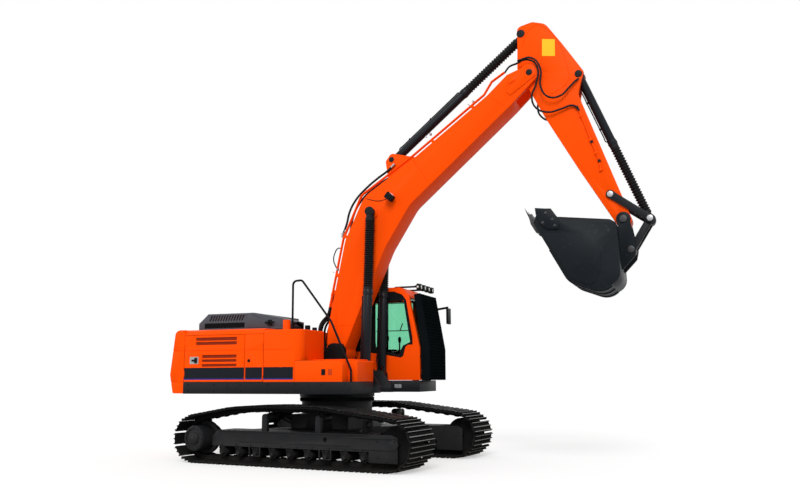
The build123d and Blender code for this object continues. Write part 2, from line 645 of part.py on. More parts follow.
# Cab shell: hollow, its left side open for the door, its windows cut
cab_outline = [(cab_rear, cab_bottom), cab_front_foot, cab_front_knee, cab_front_head, (cab_roof_front, cab_roof),
               (cab_rear, cab_roof)]
cab_radii = [0, 0, 60, 60, 60, 90]
door_rear, door_front = -170.0, 1010.0
hinge_radius, hinge_offset = 14.0, 10.0
door_sill, door_head = cab_bottom + 60.0, cab_roof - 110.0
hinge_half = 50.0
cab_hinge_z = (door_sill + 200.0, door_head - 200.0)
right_window = [(90, 1830), (620, 1790), (960, 1740), (1045, 1900), (1180, 1960), (1060, 2700), (90, 2700)]
with BuildPart() as cab_shell:
    plate(upper, cab_outline, cab_right, cab_left, radius=cab_radii)
    room = [(cab_rear + cab_wall, cab_bottom + cab_wall), (cab_front_foot[0] - cab_wall, cab_bottom + cab_wall),
            (cab_front_knee[0] - cab_wall, cab_front_knee[1]), (cab_front_head[0] - cab_wall, cab_front_head[1] - 20),
            (cab_roof_front - 20, cab_roof - cab_wall), (cab_rear + cab_wall, cab_roof - cab_wall)]
    plate(upper, room, cab_right + cab_wall, cab_left - cab_wall, mode=Mode.SUBTRACT)
    plate(upper, right_window, cab_right - 1, cab_right + cab_wall + 1, radius=60, mode=Mode.SUBTRACT)
    rear_window = [(cab_right + 110, 1950), (cab_left - 110, 1950), (cab_left - 110, 2680), (cab_right + 110, 2680)]
    with BuildSketch(facing(upper, cab_rear - 1)) as pane:
        with BuildLine():
            FilletPolyline(*rear_window, radius=60, close=True)
        make_face()
    extrude(pane.sketch, amount=cab_wall + 2, mode=Mode.SUBTRACT)
    front_hole = [(cab_right + 70, pane_foot), (cab_left - 70, pane_foot), (cab_left - 70, pane_top),
                  (cab_right + 70, pane_top)]
    with BuildSketch(facing(upper, 1000)) as pane:
        with BuildLine():
            Polyline(*front_hole, close=True)
        make_face()
    extrude(pane.sketch, amount=600, mode=Mode.SUBTRACT)
    block(upper, (door_rear - side_play, cab_left - cab_wall - 1, door_sill - side_play),
          (door_front + side_play, cab_left + 1, door_head + side_play), Mode.SUBTRACT)
    for z in cab_hinge_z:
        upright(upper, (door_rear, cab_left + hinge_offset), hinge_radius + running_gap, z - hinge_half - running_gap,
                z + hinge_half + running_gap, Mode.SUBTRACT)
save(cab_shell, "cab_shell")

with BuildPart() as cab_glass:
    plate(upper, right_window, cab_right + 16, cab_right + 16 + glass_thickness, radius=60)
    with BuildSketch(facing(upper, cab_rear + 16)) as pane:
        with BuildLine():
            FilletPolyline(*rear_window, radius=60, close=True)
        make_face()
    extrude(pane.sketch, amount=glass_thickness)
save(cab_glass, "cab_glass")

with BuildPart() as windscreen:
    lean = (cab_front_knee[0] - cab_front_head[0]) / (cab_front_head[1] - cab_front_knee[1])
    pane_back, pane_front = cab_front_knee[0] - 24, cab_front_knee[0] - 16
    rise = lean * (pane_top - cab_front_knee[1])
    pane_outline = [(pane_back, pane_foot), (pane_front, pane_foot), (pane_front, cab_front_knee[1]), (pane_front - rise, pane_top),
                    (pane_back - rise, pane_top), (pane_back, cab_front_knee[1])]
    plate(upper, pane_outline, cab_right + 70, cab_left - 70)
save(windscreen, "windscreen")

with BuildPart() as cab_door:
    plate(upper, [(door_rear, door_sill), (door_front, door_sill), (door_front, door_head), (door_rear, door_head)],
          cab_left - cab_wall, cab_left, radius=40)
    door_window = [(door_rear + 90, 1850), (door_front - 80, 1850), (door_front - 80, door_head - 80),
                   (door_rear + 90, door_head - 80)]
    plate(upper, door_window, cab_left - cab_wall - 1, cab_left + 1, radius=60, mode=Mode.SUBTRACT)
    for z in cab_hinge_z:
        upright(upper, (door_rear, cab_left + hinge_offset), hinge_radius, z - hinge_half, z + hinge_half)
save(cab_door, "cab_door")

with BuildPart() as cab_door_glass:
    plate(upper, door_window, cab_left - cab_wall + 16, cab_left - cab_wall + 16 + glass_thickness, radius=60)
save(cab_door_glass, "cab_door_glass")

# Guard in front of the windscreen, hung on four posts
guard_bottom_x, guard_top_x = cab_front_foot[0] + guard_stand_off, cab_front_head[0] + guard_head_stand_off
with BuildPart() as cab_guard:
    front = [(guard_bottom_x, cab_bottom), (guard_bottom_x + guard_depth, cab_bottom),
             (guard_bottom_x + guard_depth, cab_front_knee[1]),
             (guard_top_x + guard_head_depth, cab_front_head[1] + 30),
             (guard_top_x, cab_front_head[1] + 10), (guard_bottom_x, cab_front_knee[1])]
    plate(upper, front, cab_right, cab_left)
    for z in (cab_bottom + 60, cab_front_knee[1] - 150):
        for y in (cab_right + 20, cab_left - 60):
            block(upper, (cab_front_foot[0], y, z), (guard_bottom_x, y + 40, z + 40))
save(cab_guard, "cab_guard")

with BuildPart() as cab_fittings:
    for y in (cab_right + 140, cab_left - 170):
        block(upper, (cab_roof_front - 160, y, cab_roof), (lamp_bar_x, y + 30, cab_roof + 30))
    block(upper, (lamp_bar_x, cab_right + 60, cab_roof), (lamp_bar_x + 25, cab_left - 60, cab_roof + 30))
    for n in range(4):
        y = cab_right + 65 + n * 220
        block(upper, (lamp_bar_x + 25, y, cab_roof - 50), (lamp_bar_x + 95, y + 110, cab_roof + 55))
save(cab_fittings, "cab_fittings")

with BuildPart() as mirrors:
    arm_foot, arm_end = (cab_front - 40, cab_roof - 370), (cab_front + 250, cab_roof - 330)
    plate(upper, [arm_foot, arm_end, (arm_end[0], arm_end[1] + 40), (arm_foot[0], arm_foot[1] + 40)], cab_left,
          cab_left + 20)
    block(upper, (arm_end[0] - 40, cab_left, arm_end[1] - 280), (arm_end[0], cab_left + 180, arm_end[1] + 10))
save(mirrors, "mirrors")

seat_y = (cab_right + cab_left) / 2
with BuildPart() as operator_seat:
    block(upper, (260, seat_y - 170, cab_bottom + cab_wall), (700, seat_y + 170, 1640))
    block(upper, (220, seat_y - 240, 1640), (760, seat_y + 240, 1760))
    plate(upper, [(180, 1760), (320, 1760), (240, 2420), (120, 2420)], seat_y - 230, seat_y + 230)
save(operator_seat, "operator_seat")

with BuildPart() as cab_consoles:
    for hand in (-1, 1):
        y = seat_y + hand * 310
        block(upper, (300, y - 50, cab_bottom + cab_wall), (780, y + 50, 1830))
        upright(upper, (700, y), 14, 1830, 2000)
save(cab_consoles, "cab_consoles")

# Boom
with BuildPart() as boom:
    boom_outline = [(0, foot_radius), *boom_top_line, (boom_length, tip_radius), (boom_length, -tip_radius),
                    *boom_under_line, (0, -foot_radius)]
    plate(boom_frame, boom_outline, -boom_half_width, boom_half_width,
          radius=[0, 200, 500, 500, 400, 100, 0, 0, 0, 0, 500, 500, 300, 0, 0])
    drum(boom_frame, (0, 0), foot_radius, -boom_half_width, boom_half_width)
    drum(boom_frame, (boom_length, 0), tip_radius, -boom_half_width, boom_half_width)
    slot = [(fork_root, -400), (boom_length + 250, -400), (boom_length + 250, 600), (fork_root + 45, 600)]
    plate(boom_frame, slot, -tip_gap, tip_gap, mode=Mode.SUBTRACT)
    drum(boom_frame, (boom_length, 0), tip_pin, -boom_half_width - 20, boom_half_width + 20)
    drum(boom_frame, (0, 0), foot_pin + running_gap, -boom_half_width - 1, boom_half_width + 1, Mode.SUBTRACT)
    drum(boom_frame, ram_pin_at, 95, -boom_half_width - 35, boom_half_width + 35)
    lug = [(2880, 1010), (3160, 1300), (3330, 1300), (3560, 770)]
    for hand in (-1, 1):
        near, far = sorted((hand * slot_half_width, hand * (slot_half_width + 40)))
        plate(boom_frame, lug, near, far, radius=[0, 70, 70, 0])
    drum(boom_frame, arm_ram_base_at, arm_ram["pin"], -slot_half_width - 40, slot_half_width + 40)
    tip_rib = [(boom_length - 475, 40), (boom_length - 460, 140), (boom_length - 60, 55), (boom_length + 60, 75),
               (boom_length + 105, -20), (boom_length + 15, -120)]
    tip_boss = [(boom_length - 300, 225), (boom_length - 200, 180), (boom_length - 225, 125), (boom_length - 330, 170)]
    for hand in (-1, 1):
        near, far = sorted((hand * (boom_half_width - 5), hand * (boom_half_width + 14)))
        plate(boom_frame, tip_rib, near, far)
        plate(boom_frame, tip_boss, near, far, radius=15)
    for x in clamp_x:
        low, high = height_on(boom_top_line, x - 25), height_on(boom_top_line, x + 25)
        seat = pipe_rise - pipe_radius * hypot(50, high - low) / 50 - running_gap
        clamp = [(x - 25, low - 40), (x + 25, high - 40), (x + 25, high + seat), (x - 25, low + seat)]
        for near, far in ((-boom_half_width, -pipe_y + pipe_radius), (pipe_y - pipe_radius, boom_half_width)):
            plate(boom_frame, clamp, near, far)
save(boom, "boom")

# Oil pipes clamped along the boom's upper side, two on each hand
with BuildPart() as boom_pipes:
    for hand in (-1, 1):
        for y in (hand * pipe_y, hand * (pipe_y + pipe_pitch)):
            path = [(pipe_start, height_on(boom_top_line, pipe_start) + pipe_rise), *pipe_line]
            with BuildLine() as route:
                FilletPolyline(*[side(boom_frame, y).from_local_coords((x, z, 0)) for x, z in path],
                               radius=[250, 250, 250, 90, 60])
            with BuildSketch(Plane(origin=route.line @ 0, z_dir=route.line % 0)):
                Circle(pipe_radius)
            sweep()
save(boom_pipes, "boom_pipes")

with BuildPart() as boom_lamp:
    drum(boom_frame, lamp_at, 20, -boom_half_width - 60, -boom_half_width - running_gap)
    plate(boom_frame, [(lamp_at[0] - 60, lamp_at[1] - 75), (lamp_at[0] + 45, lamp_at[1] - 75),
                       (lamp_at[0] + 60, lamp_at[1] + 75), (lamp_at[0] - 60, lamp_at[1] + 75)],
          -boom_half_width - 160, -boom_half_width - 60, radius=20)
save(boom_lamp, "boom_lamp")

# Arm
arm_outline = [(-830, 225), (-760, 480), (-600, 640), (-120, 690), (475, 730), (560, 640), (756, 462),
               (arm_length - 400, 185), (arm_length, 120), (arm_length, -120), (arm_length - 1155, -160), (735, -170), (-200, -130), (-590, 100)]
arm_radii = [90, 120, 200, 400, 30, 30, 150, 0, 0, 0, 0, 0, 100, 100]
with BuildPart() as arm:
    plate(arm_frame, arm_outline, -arm_half_width, arm_half_width, radius=arm_radii)
    drum(arm_frame, (arm_length, 0), 120, -arm_half_width, arm_half_width)
    drum(arm_frame, (0, 0), tip_pin + running_gap, -arm_half_width - 1, arm_half_width + 1, Mode.SUBTRACT)
    drum(arm_frame, (arm_length, 0), bucket_pin + running_gap, -arm_half_width - 1, arm_half_width + 1, Mode.SUBTRACT)
    drum(arm_frame, idler_pin_at, idler_pin + running_gap, -arm_half_width - 1, arm_half_width + 1, Mode.SUBTRACT)
    rear_slot = [(-1100, -200), (-340, -200), (-340, 480), (-480, 900), (-1100, 900)]
    plate(arm_frame, rear_slot, -slot_half_width, slot_half_width, mode=Mode.SUBTRACT)
    front_slot = [(360, 520), (760, 400), (900, 900), (360, 900)]
    plate(arm_frame, front_slot, -slot_half_width, slot_half_width, mode=Mode.SUBTRACT)
    drum(arm_frame, bucket_ram_base_at, bucket_ram["pin"], -slot_half_width - 20, slot_half_width + 20)
save(arm, "arm")


# Cylinders: barrel with its base eye, rod with its end eye, bellows over the rod
def ram_frame(base, end):
    """Axes of a cylinder from its base pin to its rod pin, and its length."""
    dx, dz = end[0] - base[0], end[1] - base[1]
    return tilted(base[0], base[1], degrees(atan2(dz, dx))), hypot(dx, dz)


def ring(frame, y, outer, inner, start, end, mode=Mode.ADD):
    """A round tube along a cylinder, between two distances from its base pin."""
    plane = Plane(origin=frame.origin + frame.y_dir * y + frame.x_dir * start, x_dir=frame.y_dir, z_dir=frame.x_dir)
    with BuildSketch(plane) as section:
        Circle(outer)
        if inner:
            Circle(inner, mode=Mode.SUBTRACT)
    extrude(section.sketch, amount=end - start, mode=mode)


def barrel(frame, ram, y):
    eye = ram["half_eye"]
    neck = neck_length if eye < ram["barrel"] - side_play else ram["eye"] / 2
    ring(frame, y, ram["barrel"], 0, neck, ram["gland"])
    drum(frame, (0, 0), ram["eye"], y - eye, y + eye)
    block(frame, (0, y - eye, -ram["eye"]), (neck, y + eye, ram["eye"]))
    ring(frame, y, ram["rod"] + running_gap, 0, ram["eye"] + 10, ram["gland"] + 1, Mode.SUBTRACT)
    drum(frame, (0, 0), ram["pin"] + running_gap, y - 200, y + 200, Mode.SUBTRACT)


def rod(frame, ram, y, length):
    eye = ram["half_eye"]
    ring(frame, y, ram["rod"], 0, ram["gland"] - ram["tail"], length)
    drum(frame, (length, 0), ram["eye"], y - eye, y + eye)
    ring(frame, y, ram["barrel"] - 8, 0, length - ram["eye"] - 40, length - ram["eye"] + 10)


def bellows(frame, ram, y, length):
    start, end = ram["gland"] + running_gap, length - ram["eye"] - 40
    crest, valley, bore = ram["barrel"], ram["barrel"] - 14, ram["barrel"] - bellows_wall
    count = round((end - start - 2 * cuff_length) / fold_pitch)
    pitch = (end - start - 2 * cuff_length) / count
    outline = [(start, bore), (start, crest - 4), (start + cuff_length, crest - 4)]
    for n in range(count):
        outline += [(start + cuff_length + n * pitch, valley), (start + cuff_length + (n + 0.5) * pitch, crest)]
    outline += [(end - cuff_length, valley), (end - cuff_length, crest - 4), (end, crest - 4), (end, bore)]
    plane = Plane(origin=frame.origin + frame.y_dir * y, x_dir=frame.x_dir, z_dir=-frame.y_dir)
    with BuildSketch(plane) as section:
        with BuildLine():
            Polyline(*outline, close=True)
        make_face()
    revolve(section.sketch, axis=Axis(plane.origin, frame.x_dir))


rams = [
    ("boom", boom_ram, place(upper, boom_ram_base), place(boom_frame, ram_pin_at), (-boom_ram_spacing, boom_ram_spacing)),
    ("arm", arm_ram, place(boom_frame, arm_ram_base_at), place(arm_frame, arm_ram_end_at), (0,)),
    ("bucket", bucket_ram, place(arm_frame, bucket_ram_base_at), place(arm_frame, link_pin_at), (0,)),
]
for name, ram, base, end, spacing in rams:
    axes, length = ram_frame(base, end)
    with BuildPart() as ram_barrel:
        for y in spacing:
            barrel(axes, ram, y)
    save(ram_barrel, f"{name}_ram_barrel")
    with BuildPart() as ram_rod:
        for y in spacing:
            rod(axes, ram, y, length)
    save(ram_rod, f"{name}_ram_rod")
    with BuildPart() as ram_bellows:
        for y in spacing:
            bellows(axes, ram, y, length)
    save(ram_bellows, f"{name}_ram_bellows")

# Bucket linkage: two side links on the arm and one push link down to the bucket
link_inner_y, link_outer_y = arm_half_width + side_play, arm_half_width + 33
idler_dx, idler_dz = link_pin_at[0] - idler_pin_at[0], link_pin_at[1] - idler_pin_at[1]
idler_frame = tilted(*place(arm_frame, idler_pin_at), arm_angle + degrees(atan2(idler_dz, idler_dx)))
idler_length = hypot(idler_dx, idler_dz)
with BuildPart() as idler_links:
    for hand in (-1, 1):
        near, far = sorted((hand * link_inner_y, hand * link_outer_y))
        plate(idler_frame, [(0, 62), (idler_length, 55), (idler_length, -55), (0, -62)], near, far)
        drum(idler_frame, (0, 0), 66, near, far)
        drum(idler_frame, (idler_length, 0), 68, near, far)
        near, far = sorted((hand * push_inner, hand * link_outer_y))
        drum(idler_frame, (idler_length, 0), idler_pin, near, far)
    drum(idler_frame, (0, 0), idler_pin, -link_outer_y, link_outer_y)
save(idler_links, "idler_links")

knuckle = place(arm_frame, link_pin_at)
bucket_hook = place(bucket_frame, bucket_link_at)
push_frame, push_length = ram_frame(knuckle, bucket_hook)
with BuildPart() as push_link:
    for hand in (-1, 1):
        near, far = sorted((hand * push_inner, hand * push_outer))
        plate(push_frame, [(0, 55), (push_length, 55), (push_length, -55), (0, -55)], near, far)
        drum(push_frame, (0, 0), 72, near, far)
        drum(push_frame, (push_length, 0), 65, near, far)
        drum(push_frame, (0, 0), idler_pin + running_gap, near - 1, far + 1, Mode.SUBTRACT)
    block(push_frame, (push_length * 0.62, -push_inner, -40), (push_length, push_inner, 40))
    drum(push_frame, (push_length, 0), 65, -push_outer, push_outer)
save(push_link, "push_link")

# Bucket: curved shell, side plates, ears and teeth
shell = [(1300, 230), (667, 1071), (163, 1185), (-90, 950), (60, 120), (160, 90), (941, 108), (1053, -14), (1250, 0)]
shell_radii = [0, 260, 260, 200, 60, 60, 60, 20, 20]
room = [(1400, 150), (1262, 242), (649, 1046), (175, 1157), (-64, 938), (80, 132), (120, -60), (1300, -60)]
room_radii = [0, 0, 240, 240, 180, 40, 0, 0]
cutter = [(1300, -5), (1067, -10), (945, 122), (889, 212), (905, 294), (1063, 303), (1178, 249), (1273, 98)]
cheek = [(1140, 372), (500, 329), (325, 430), (233, 604), (221, 860), (290, 1115), (640, 1035)]
strip = [(1028, 618), (678, 1086), (158, 1203), (25, 1079), (44, 1058), (168, 1172), (658, 1058), (1005, 601)]
with BuildPart() as bucket:
    plate(bucket_frame, shell, -bucket_half_width, bucket_half_width, radius=shell_radii)
    plate(bucket_frame, room, -bucket_half_width + bucket_wall, bucket_half_width - bucket_wall, radius=room_radii,
          mode=Mode.SUBTRACT)
    ear = [(85, 60), (60, -100), (-60, -100), (-240, 430), (-230, 560), (-75, 780), (-47, 780), (38, 310), (68, 130)]
    for hand in (-1, 1):
        near, far = sorted((hand * ear_inner, hand * ear_outer))
        plate(bucket_frame, ear, near, far)
        drum(bucket_frame, (0, 0), 110, near, far)
        near, far = sorted((hand * (arm_half_width + side_play), hand * ear_inner))
        drum(bucket_frame, (0, 0), 75, near, far)
    drum(bucket_frame, (0, 0), bucket_pin, -ear_outer - 10, ear_outer + 10)
    for hand in (-1, 1):
        near, far = sorted((hand * (bucket_half_width - 5), hand * (bucket_half_width + 30)))
        plate(bucket_frame, cutter, near, far)
        near, far = sorted((hand * (bucket_half_width - 5), hand * (bucket_half_width + 12)))
        plate(bucket_frame, cheek, near, far, radius=[0, 60, 120, 200, 150, 120, 200])
    for n in range(3):
        y = (n - 1) * bucket_half_width * 0.8
        plate(bucket_frame, strip, y - 45, y + 45, radius=[0, 276, 276, 0, 0, 248, 248, 0])
    for n in range(tooth_count):
        y = (n / (tooth_count - 1) - 0.5) * 2 * (bucket_half_width - 60)
        plate(bucket_frame, [(1472, 0), (1190, 340), (1230, 370), (1320, 260)], y - tooth_width / 2, y + tooth_width / 2)
save(bucket, "bucket")
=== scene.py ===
"""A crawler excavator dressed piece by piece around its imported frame, in metres."""

import json
from math import atan2, cos, degrees, hypot, pi, radians, sin

import bpy
from mathutils import Matrix, Vector
from mathutils.geometry import convex_hull_2d


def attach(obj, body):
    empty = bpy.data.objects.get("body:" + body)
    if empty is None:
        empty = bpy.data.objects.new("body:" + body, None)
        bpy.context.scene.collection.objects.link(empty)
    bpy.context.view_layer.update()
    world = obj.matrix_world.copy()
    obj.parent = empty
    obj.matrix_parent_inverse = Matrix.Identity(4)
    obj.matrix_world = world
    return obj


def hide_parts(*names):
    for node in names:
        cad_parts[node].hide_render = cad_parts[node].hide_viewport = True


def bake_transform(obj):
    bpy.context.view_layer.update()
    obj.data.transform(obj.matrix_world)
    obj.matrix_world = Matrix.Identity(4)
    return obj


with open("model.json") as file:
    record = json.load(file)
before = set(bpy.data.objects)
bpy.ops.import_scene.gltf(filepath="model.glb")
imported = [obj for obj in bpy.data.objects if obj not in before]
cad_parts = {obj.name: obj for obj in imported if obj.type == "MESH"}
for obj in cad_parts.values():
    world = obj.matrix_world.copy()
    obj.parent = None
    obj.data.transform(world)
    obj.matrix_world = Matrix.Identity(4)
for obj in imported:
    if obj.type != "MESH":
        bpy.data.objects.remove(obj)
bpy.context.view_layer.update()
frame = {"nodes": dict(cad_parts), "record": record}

# Camera
# It stands low on the machine's right, well back, and looks up a little at the raised boom.
camera_place = Vector((4.582, -12.81, 1.387))
camera_yaw, camera_pitch, camera_roll = radians(20.17), radians(8.88), radians(-0.31)
focal_pixels, image_width, sensor_width = 804.53, 800, 36.0
ahead = Vector((-sin(camera_yaw) * cos(camera_pitch), cos(camera_yaw) * cos(camera_pitch),
                sin(camera_pitch)))
level_right = Vector((cos(camera_yaw), sin(camera_yaw), 0))
level_up = level_right.cross(ahead)
camera_right = level_right * cos(camera_roll) + level_up * sin(camera_roll)
camera_up = level_up * cos(camera_roll) - level_right * sin(camera_roll)
bpy.ops.object.camera_add()
camera = bpy.context.object
camera.matrix_world = Matrix.Translation(camera_place) @ Matrix((camera_right, camera_up,
                                                                 -ahead)).transposed().to_4x4()
camera.data.sensor_width = sensor_width
camera.data.lens = focal_pixels / image_width * sensor_width
bpy.context.scene.camera = camera

# Tracks
# Forty-nine forged shoes with three bars each are bolted to a closed chain of links on each side.
# The steel is painted black and worn bright along the bars, where they meet the ground.
swing_x, track_turn = -1.287, radians(-7.2)
lower_axes = Matrix.Translation((swing_x, 0, 0)) @ Matrix.Rotation(track_turn, 4, "Z")
hands = {"right": -1, "left": 1}
track_y = 1.195
sprocket_x, idler_x, loop_radius = -1.810, 1.840, 0.390
top_run = [(-0.965, 0.918), (-0.420, 0.936), (0.560, 0.930)]
shoe_count, shoe_half, pin_depth = 49, 0.400, 0.077
shoe_outline = [(-0.092, 0.039), (0.092, 0.039), (0.092, 0.050), (0.084, 0.052), (0.080, 0.077),
                (0.071, 0.077), (0.064, 0.052), (0.013, 0.052), (0.006, 0.077), (-0.006, 0.077),
                (-0.013, 0.052), (-0.064, 0.052), (-0.071, 0.077), (-0.080, 0.077), (-0.084, 0.052),
                (-0.092, 0.050)]
link_outline = [(-0.118, -0.020), (-0.100, -0.038), (-0.062, -0.038), (-0.045, -0.026), (0.045, -0.026),
                (0.062, -0.038), (0.100, -0.038), (0.118, -0.020), (0.118, 0.020), (0.098, 0.038),
                (-0.098, 0.038), (-0.118, 0.020)]


def deselect():
    bpy.ops.object.select_all(action="DESELECT")


def take_up(piece):
    deselect()
    piece.select_set(True)
    bpy.context.view_layer.objects.active = piece


def coat(name, colour, roughness=0.4, mottle=0.07, relief=0.15, grain=60.0, metallic=0.0, clear=0.0,
         dust=0.0, dust_top=0.9, scuffs=0.0, gloss=0.2):
    """A finish with a little drift of colour and gloss, a fine relief, low dust, and scuffs."""
    finish = bpy.data.materials.new(name)
    finish.use_nodes = True
    nodes, links = finish.node_tree.nodes, finish.node_tree.links
    shader = nodes["Principled BSDF"]
    shader.inputs["Metallic"].default_value = metallic
    shader.inputs["Specular IOR Level"].default_value = gloss
    shader.inputs["Coat Weight"].default_value = clear
    shader.inputs["Coat Roughness"].default_value = 0.12
    spot = nodes.new("ShaderNodeTexCoord").outputs["Object"]
    drift = nodes.new("ShaderNodeTexNoise")
    drift.inputs["Scale"].default_value = 2.3
    drift.inputs["Detail"].default_value = 6.0
    links.new(spot, drift.inputs["Vector"])
    shade = nodes.new("ShaderNodeMix")
    shade.data_type = "RGBA"
    shade.inputs["A"].default_value = (*[c * (1 - mottle) for c in colour], 1)
    shade.inputs["B"].default_value = (*[min(1, c * (1 + mottle) + mottle * 0.01) for c in colour], 1)
    links.new(drift.outputs["Fac"], shade.inputs["Factor"])
    tone = shade.outputs["Result"]
    if dust:
        height = nodes.new("ShaderNodeSeparateXYZ")
        links.new(spot, height.inputs["Vector"])
        low = nodes.new("ShaderNodeMapRange")
        low.inputs["From Min"].default_value = dust_top
        low.inputs["From Max"].default_value = 0.0
        low.inputs["To Max"].default_value = dust
        links.new(height.outputs["Z"], low.inputs["Value"])
        cloud = nodes.new("ShaderNodeTexNoise")
        cloud.inputs["Scale"].default_value = 7.0
        cloud.inputs["Detail"].default_value = 8.0
        links.new(spot, cloud.inputs["Vector"])
        amount = nodes.new("ShaderNodeMath")
        amount.operation = "MULTIPLY"
        links.new(low.outputs["Result"], amount.inputs[0])
        links.new(cloud.outputs["Fac"], amount.inputs[1])
        dusty = nodes.new("ShaderNodeMix")
        dusty.data_type = "RGBA"
        dusty.inputs["B"].default_value = (0.16, 0.14, 0.115, 1)
        links.new(amount.outputs["Value"], dusty.inputs["Factor"])
        links.new(tone, dusty.inputs["A"])
        tone = dusty.outputs["Result"]
    if scuffs:
        streaks = nodes.new("ShaderNodeTexNoise")
        streaks.inputs["Scale"].default_value = 14.0
        streaks.inputs["Detail"].default_value = 10.0
        streaks.inputs["Roughness"].default_value = 0.75
        links.new(spot, streaks.inputs["Vector"])
        bare_steel = nodes.new("ShaderNodeMapRange")
        bare_steel.inputs["From Min"].default_value = 0.60
        bare_steel.inputs["From Max"].default_value = 0.72
        bare_steel.inputs["To Max"].default_value = scuffs
        links.new(streaks.outputs["Fac"], bare_steel.inputs["Value"])
        scuffed = nodes.new("ShaderNodeMix")
        scuffed.data_type = "RGBA"
        scuffed.inputs["B"].default_value = (0.17, 0.15, 0.13, 1)
        links.new(bare_steel.outputs["Result"], scuffed.inputs["Factor"])
        links.new(tone, scuffed.inputs["A"])
        tone = scuffed.outputs["Result"]
    links.new(tone, shader.inputs["Base Color"])
    sheen = nodes.new("ShaderNodeMapRange")
    sheen.inputs["To Min"].default_value = max(0.05, roughness - 0.08)
    sheen.inputs["To Max"].default_value = min(1.0, roughness + 0.10)
    links.new(drift.outputs["Fac"], sheen.inputs["Value"])
    links.new(sheen.outputs["Result"], shader.inputs["Roughness"])
    fine = nodes.new("ShaderNodeTexNoise")
    fine.inputs["Scale"].default_value = grain
    fine.inputs["Detail"].default_value = 4.0
    links.new(spot, fine.inputs["Vector"])
    bump = nodes.new("ShaderNodeBump")
    bump.inputs["Strength"].default_value = relief
    bump.inputs["Distance"].default_value = 0.002
    links.new(fine.outputs["Fac"], bump.inputs["Height"])
    links.new(bump.outputs["Normal"], shader.inputs["Normal"])
    return finish


def soften(piece, edge, steps=2, corner=35):
    """Rounds a piece's sharp edges and shades its round faces smooth."""
    take_up(piece)
    if edge:
        bevel = piece.modifiers.new("Edges", "BEVEL")
        bevel.width = edge
        bevel.segments = steps
        bevel.limit_method = "ANGLE"
        bevel.angle_limit = radians(corner)
        bpy.ops.object.modifier_apply(modifier=bevel.name)
    bpy.ops.object.shade_smooth_by_angle(angle=radians(corner))


def cut_plate(name, axes, outline, near, far, edge=0.0, steps=1):
    """A plate cut to a side outline in a body's axes, between two distances from its middle plane."""
    deselect()
    bpy.ops.mesh.primitive_circle_add(vertices=len(outline), fill_type="NGON")
    piece = bpy.context.object
    piece.name = name
    for vertex, (x, z) in zip(piece.data.vertices, outline):
        vertex.co = (x, near, z)
    bpy.ops.object.mode_set(mode="EDIT")
    bpy.ops.mesh.select_all(action="SELECT")
    bpy.ops.mesh.extrude_region_move(TRANSFORM_OT_translate={"value": (0, far - near, 0)})
    bpy.ops.mesh.select_all(action="SELECT")
    bpy.ops.mesh.normals_make_consistent(inside=False)
    bpy.ops.object.mode_set(mode="OBJECT")
    if edge:
        soften(piece, edge, steps)
    piece.matrix_world = axes
    take_up(piece)
    bpy.ops.object.transform_apply()
    return piece


def bar(name, axes, start, end, radius, sides=20, edge=0.0, steps=1, far_radius=None):
    """A round bar, boss, pin or bolt between two points of a body's axes."""
    deselect()
    run = Vector(end) - Vector(start)
    bpy.ops.mesh.primitive_cone_add(vertices=sides, radius1=radius, radius2=far_radius or radius,
                                    depth=run.length)
    piece = bpy.context.object
    piece.name = name
    soften(piece, edge, steps, 40)
    middle = (Vector(start) + Vector(end)) / 2
    piece.matrix_world = axes @ Matrix.Translation(middle) @ run.to_track_quat("Z", "Y").to_matrix().to_4x4()
    take_up(piece)
    bpy.ops.object.transform_apply()
    return piece


def gather(name, pieces):
    """Joins pieces into one mesh, each with its own faces."""
    deselect()
    for piece in pieces:
        piece.select_set(True)
    bpy.context.view_layer.objects.active = pieces[0]
    bpy.ops.object.join()
    whole = bpy.context.object
    whole.name = whole.data.name = name
    return whole


def copy_to(piece, places):
    """Copies a modelled piece, each with its own mesh, to a list of places, removes the piece and returns the
    copies.
    """
    copies = []
    for place in places:
        twin = bpy.data.objects.new(piece.name, piece.data.copy())
        bpy.context.collection.objects.link(twin)
        twin.data.transform(place)
        copies.append(twin)
    bpy.data.objects.remove(piece)
    return copies


def fit(piece, body, slot, *finishes):
    """Gives a finished piece its finish and the body that it rides on; the slot that it stands for is not
    used.
    """
    if finishes:
        piece.data.materials.clear()
        for finish in finishes:
            piece.data.materials.append(finish)
    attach(piece, body)
    return piece


def chain_line(radius):
    """The closed line that the chain's pins follow, seen from the right: x forward and z up."""
    rounds = [(sprocket_x, loop_radius), (idler_x, loop_radius)] + [(x, z - loop_radius)
                                                                    for x, z in top_run]
    cloud = [Vector((x + radius * cos(a * pi / 180), z + radius * sin(a * pi / 180)))
             for x, z in rounds for a in range(360)]
    return [cloud[i] for i in convex_hull_2d(cloud)]


def even_steps(line, count):
    """Evenly spaced points round a closed line."""
    lengths = [(line[i - 1] - line[i]).length for i in range(len(line))]
    total, wanted, travelled, points = sum(lengths), 0.0, 0.0, []
    for i, length in enumerate(lengths):
        while travelled + length >= wanted and len(points) < count and length:
            points.append(line[i - 1].lerp(line[i], (wanted - travelled) / length))
            wanted += total / count
        travelled += length
    return points


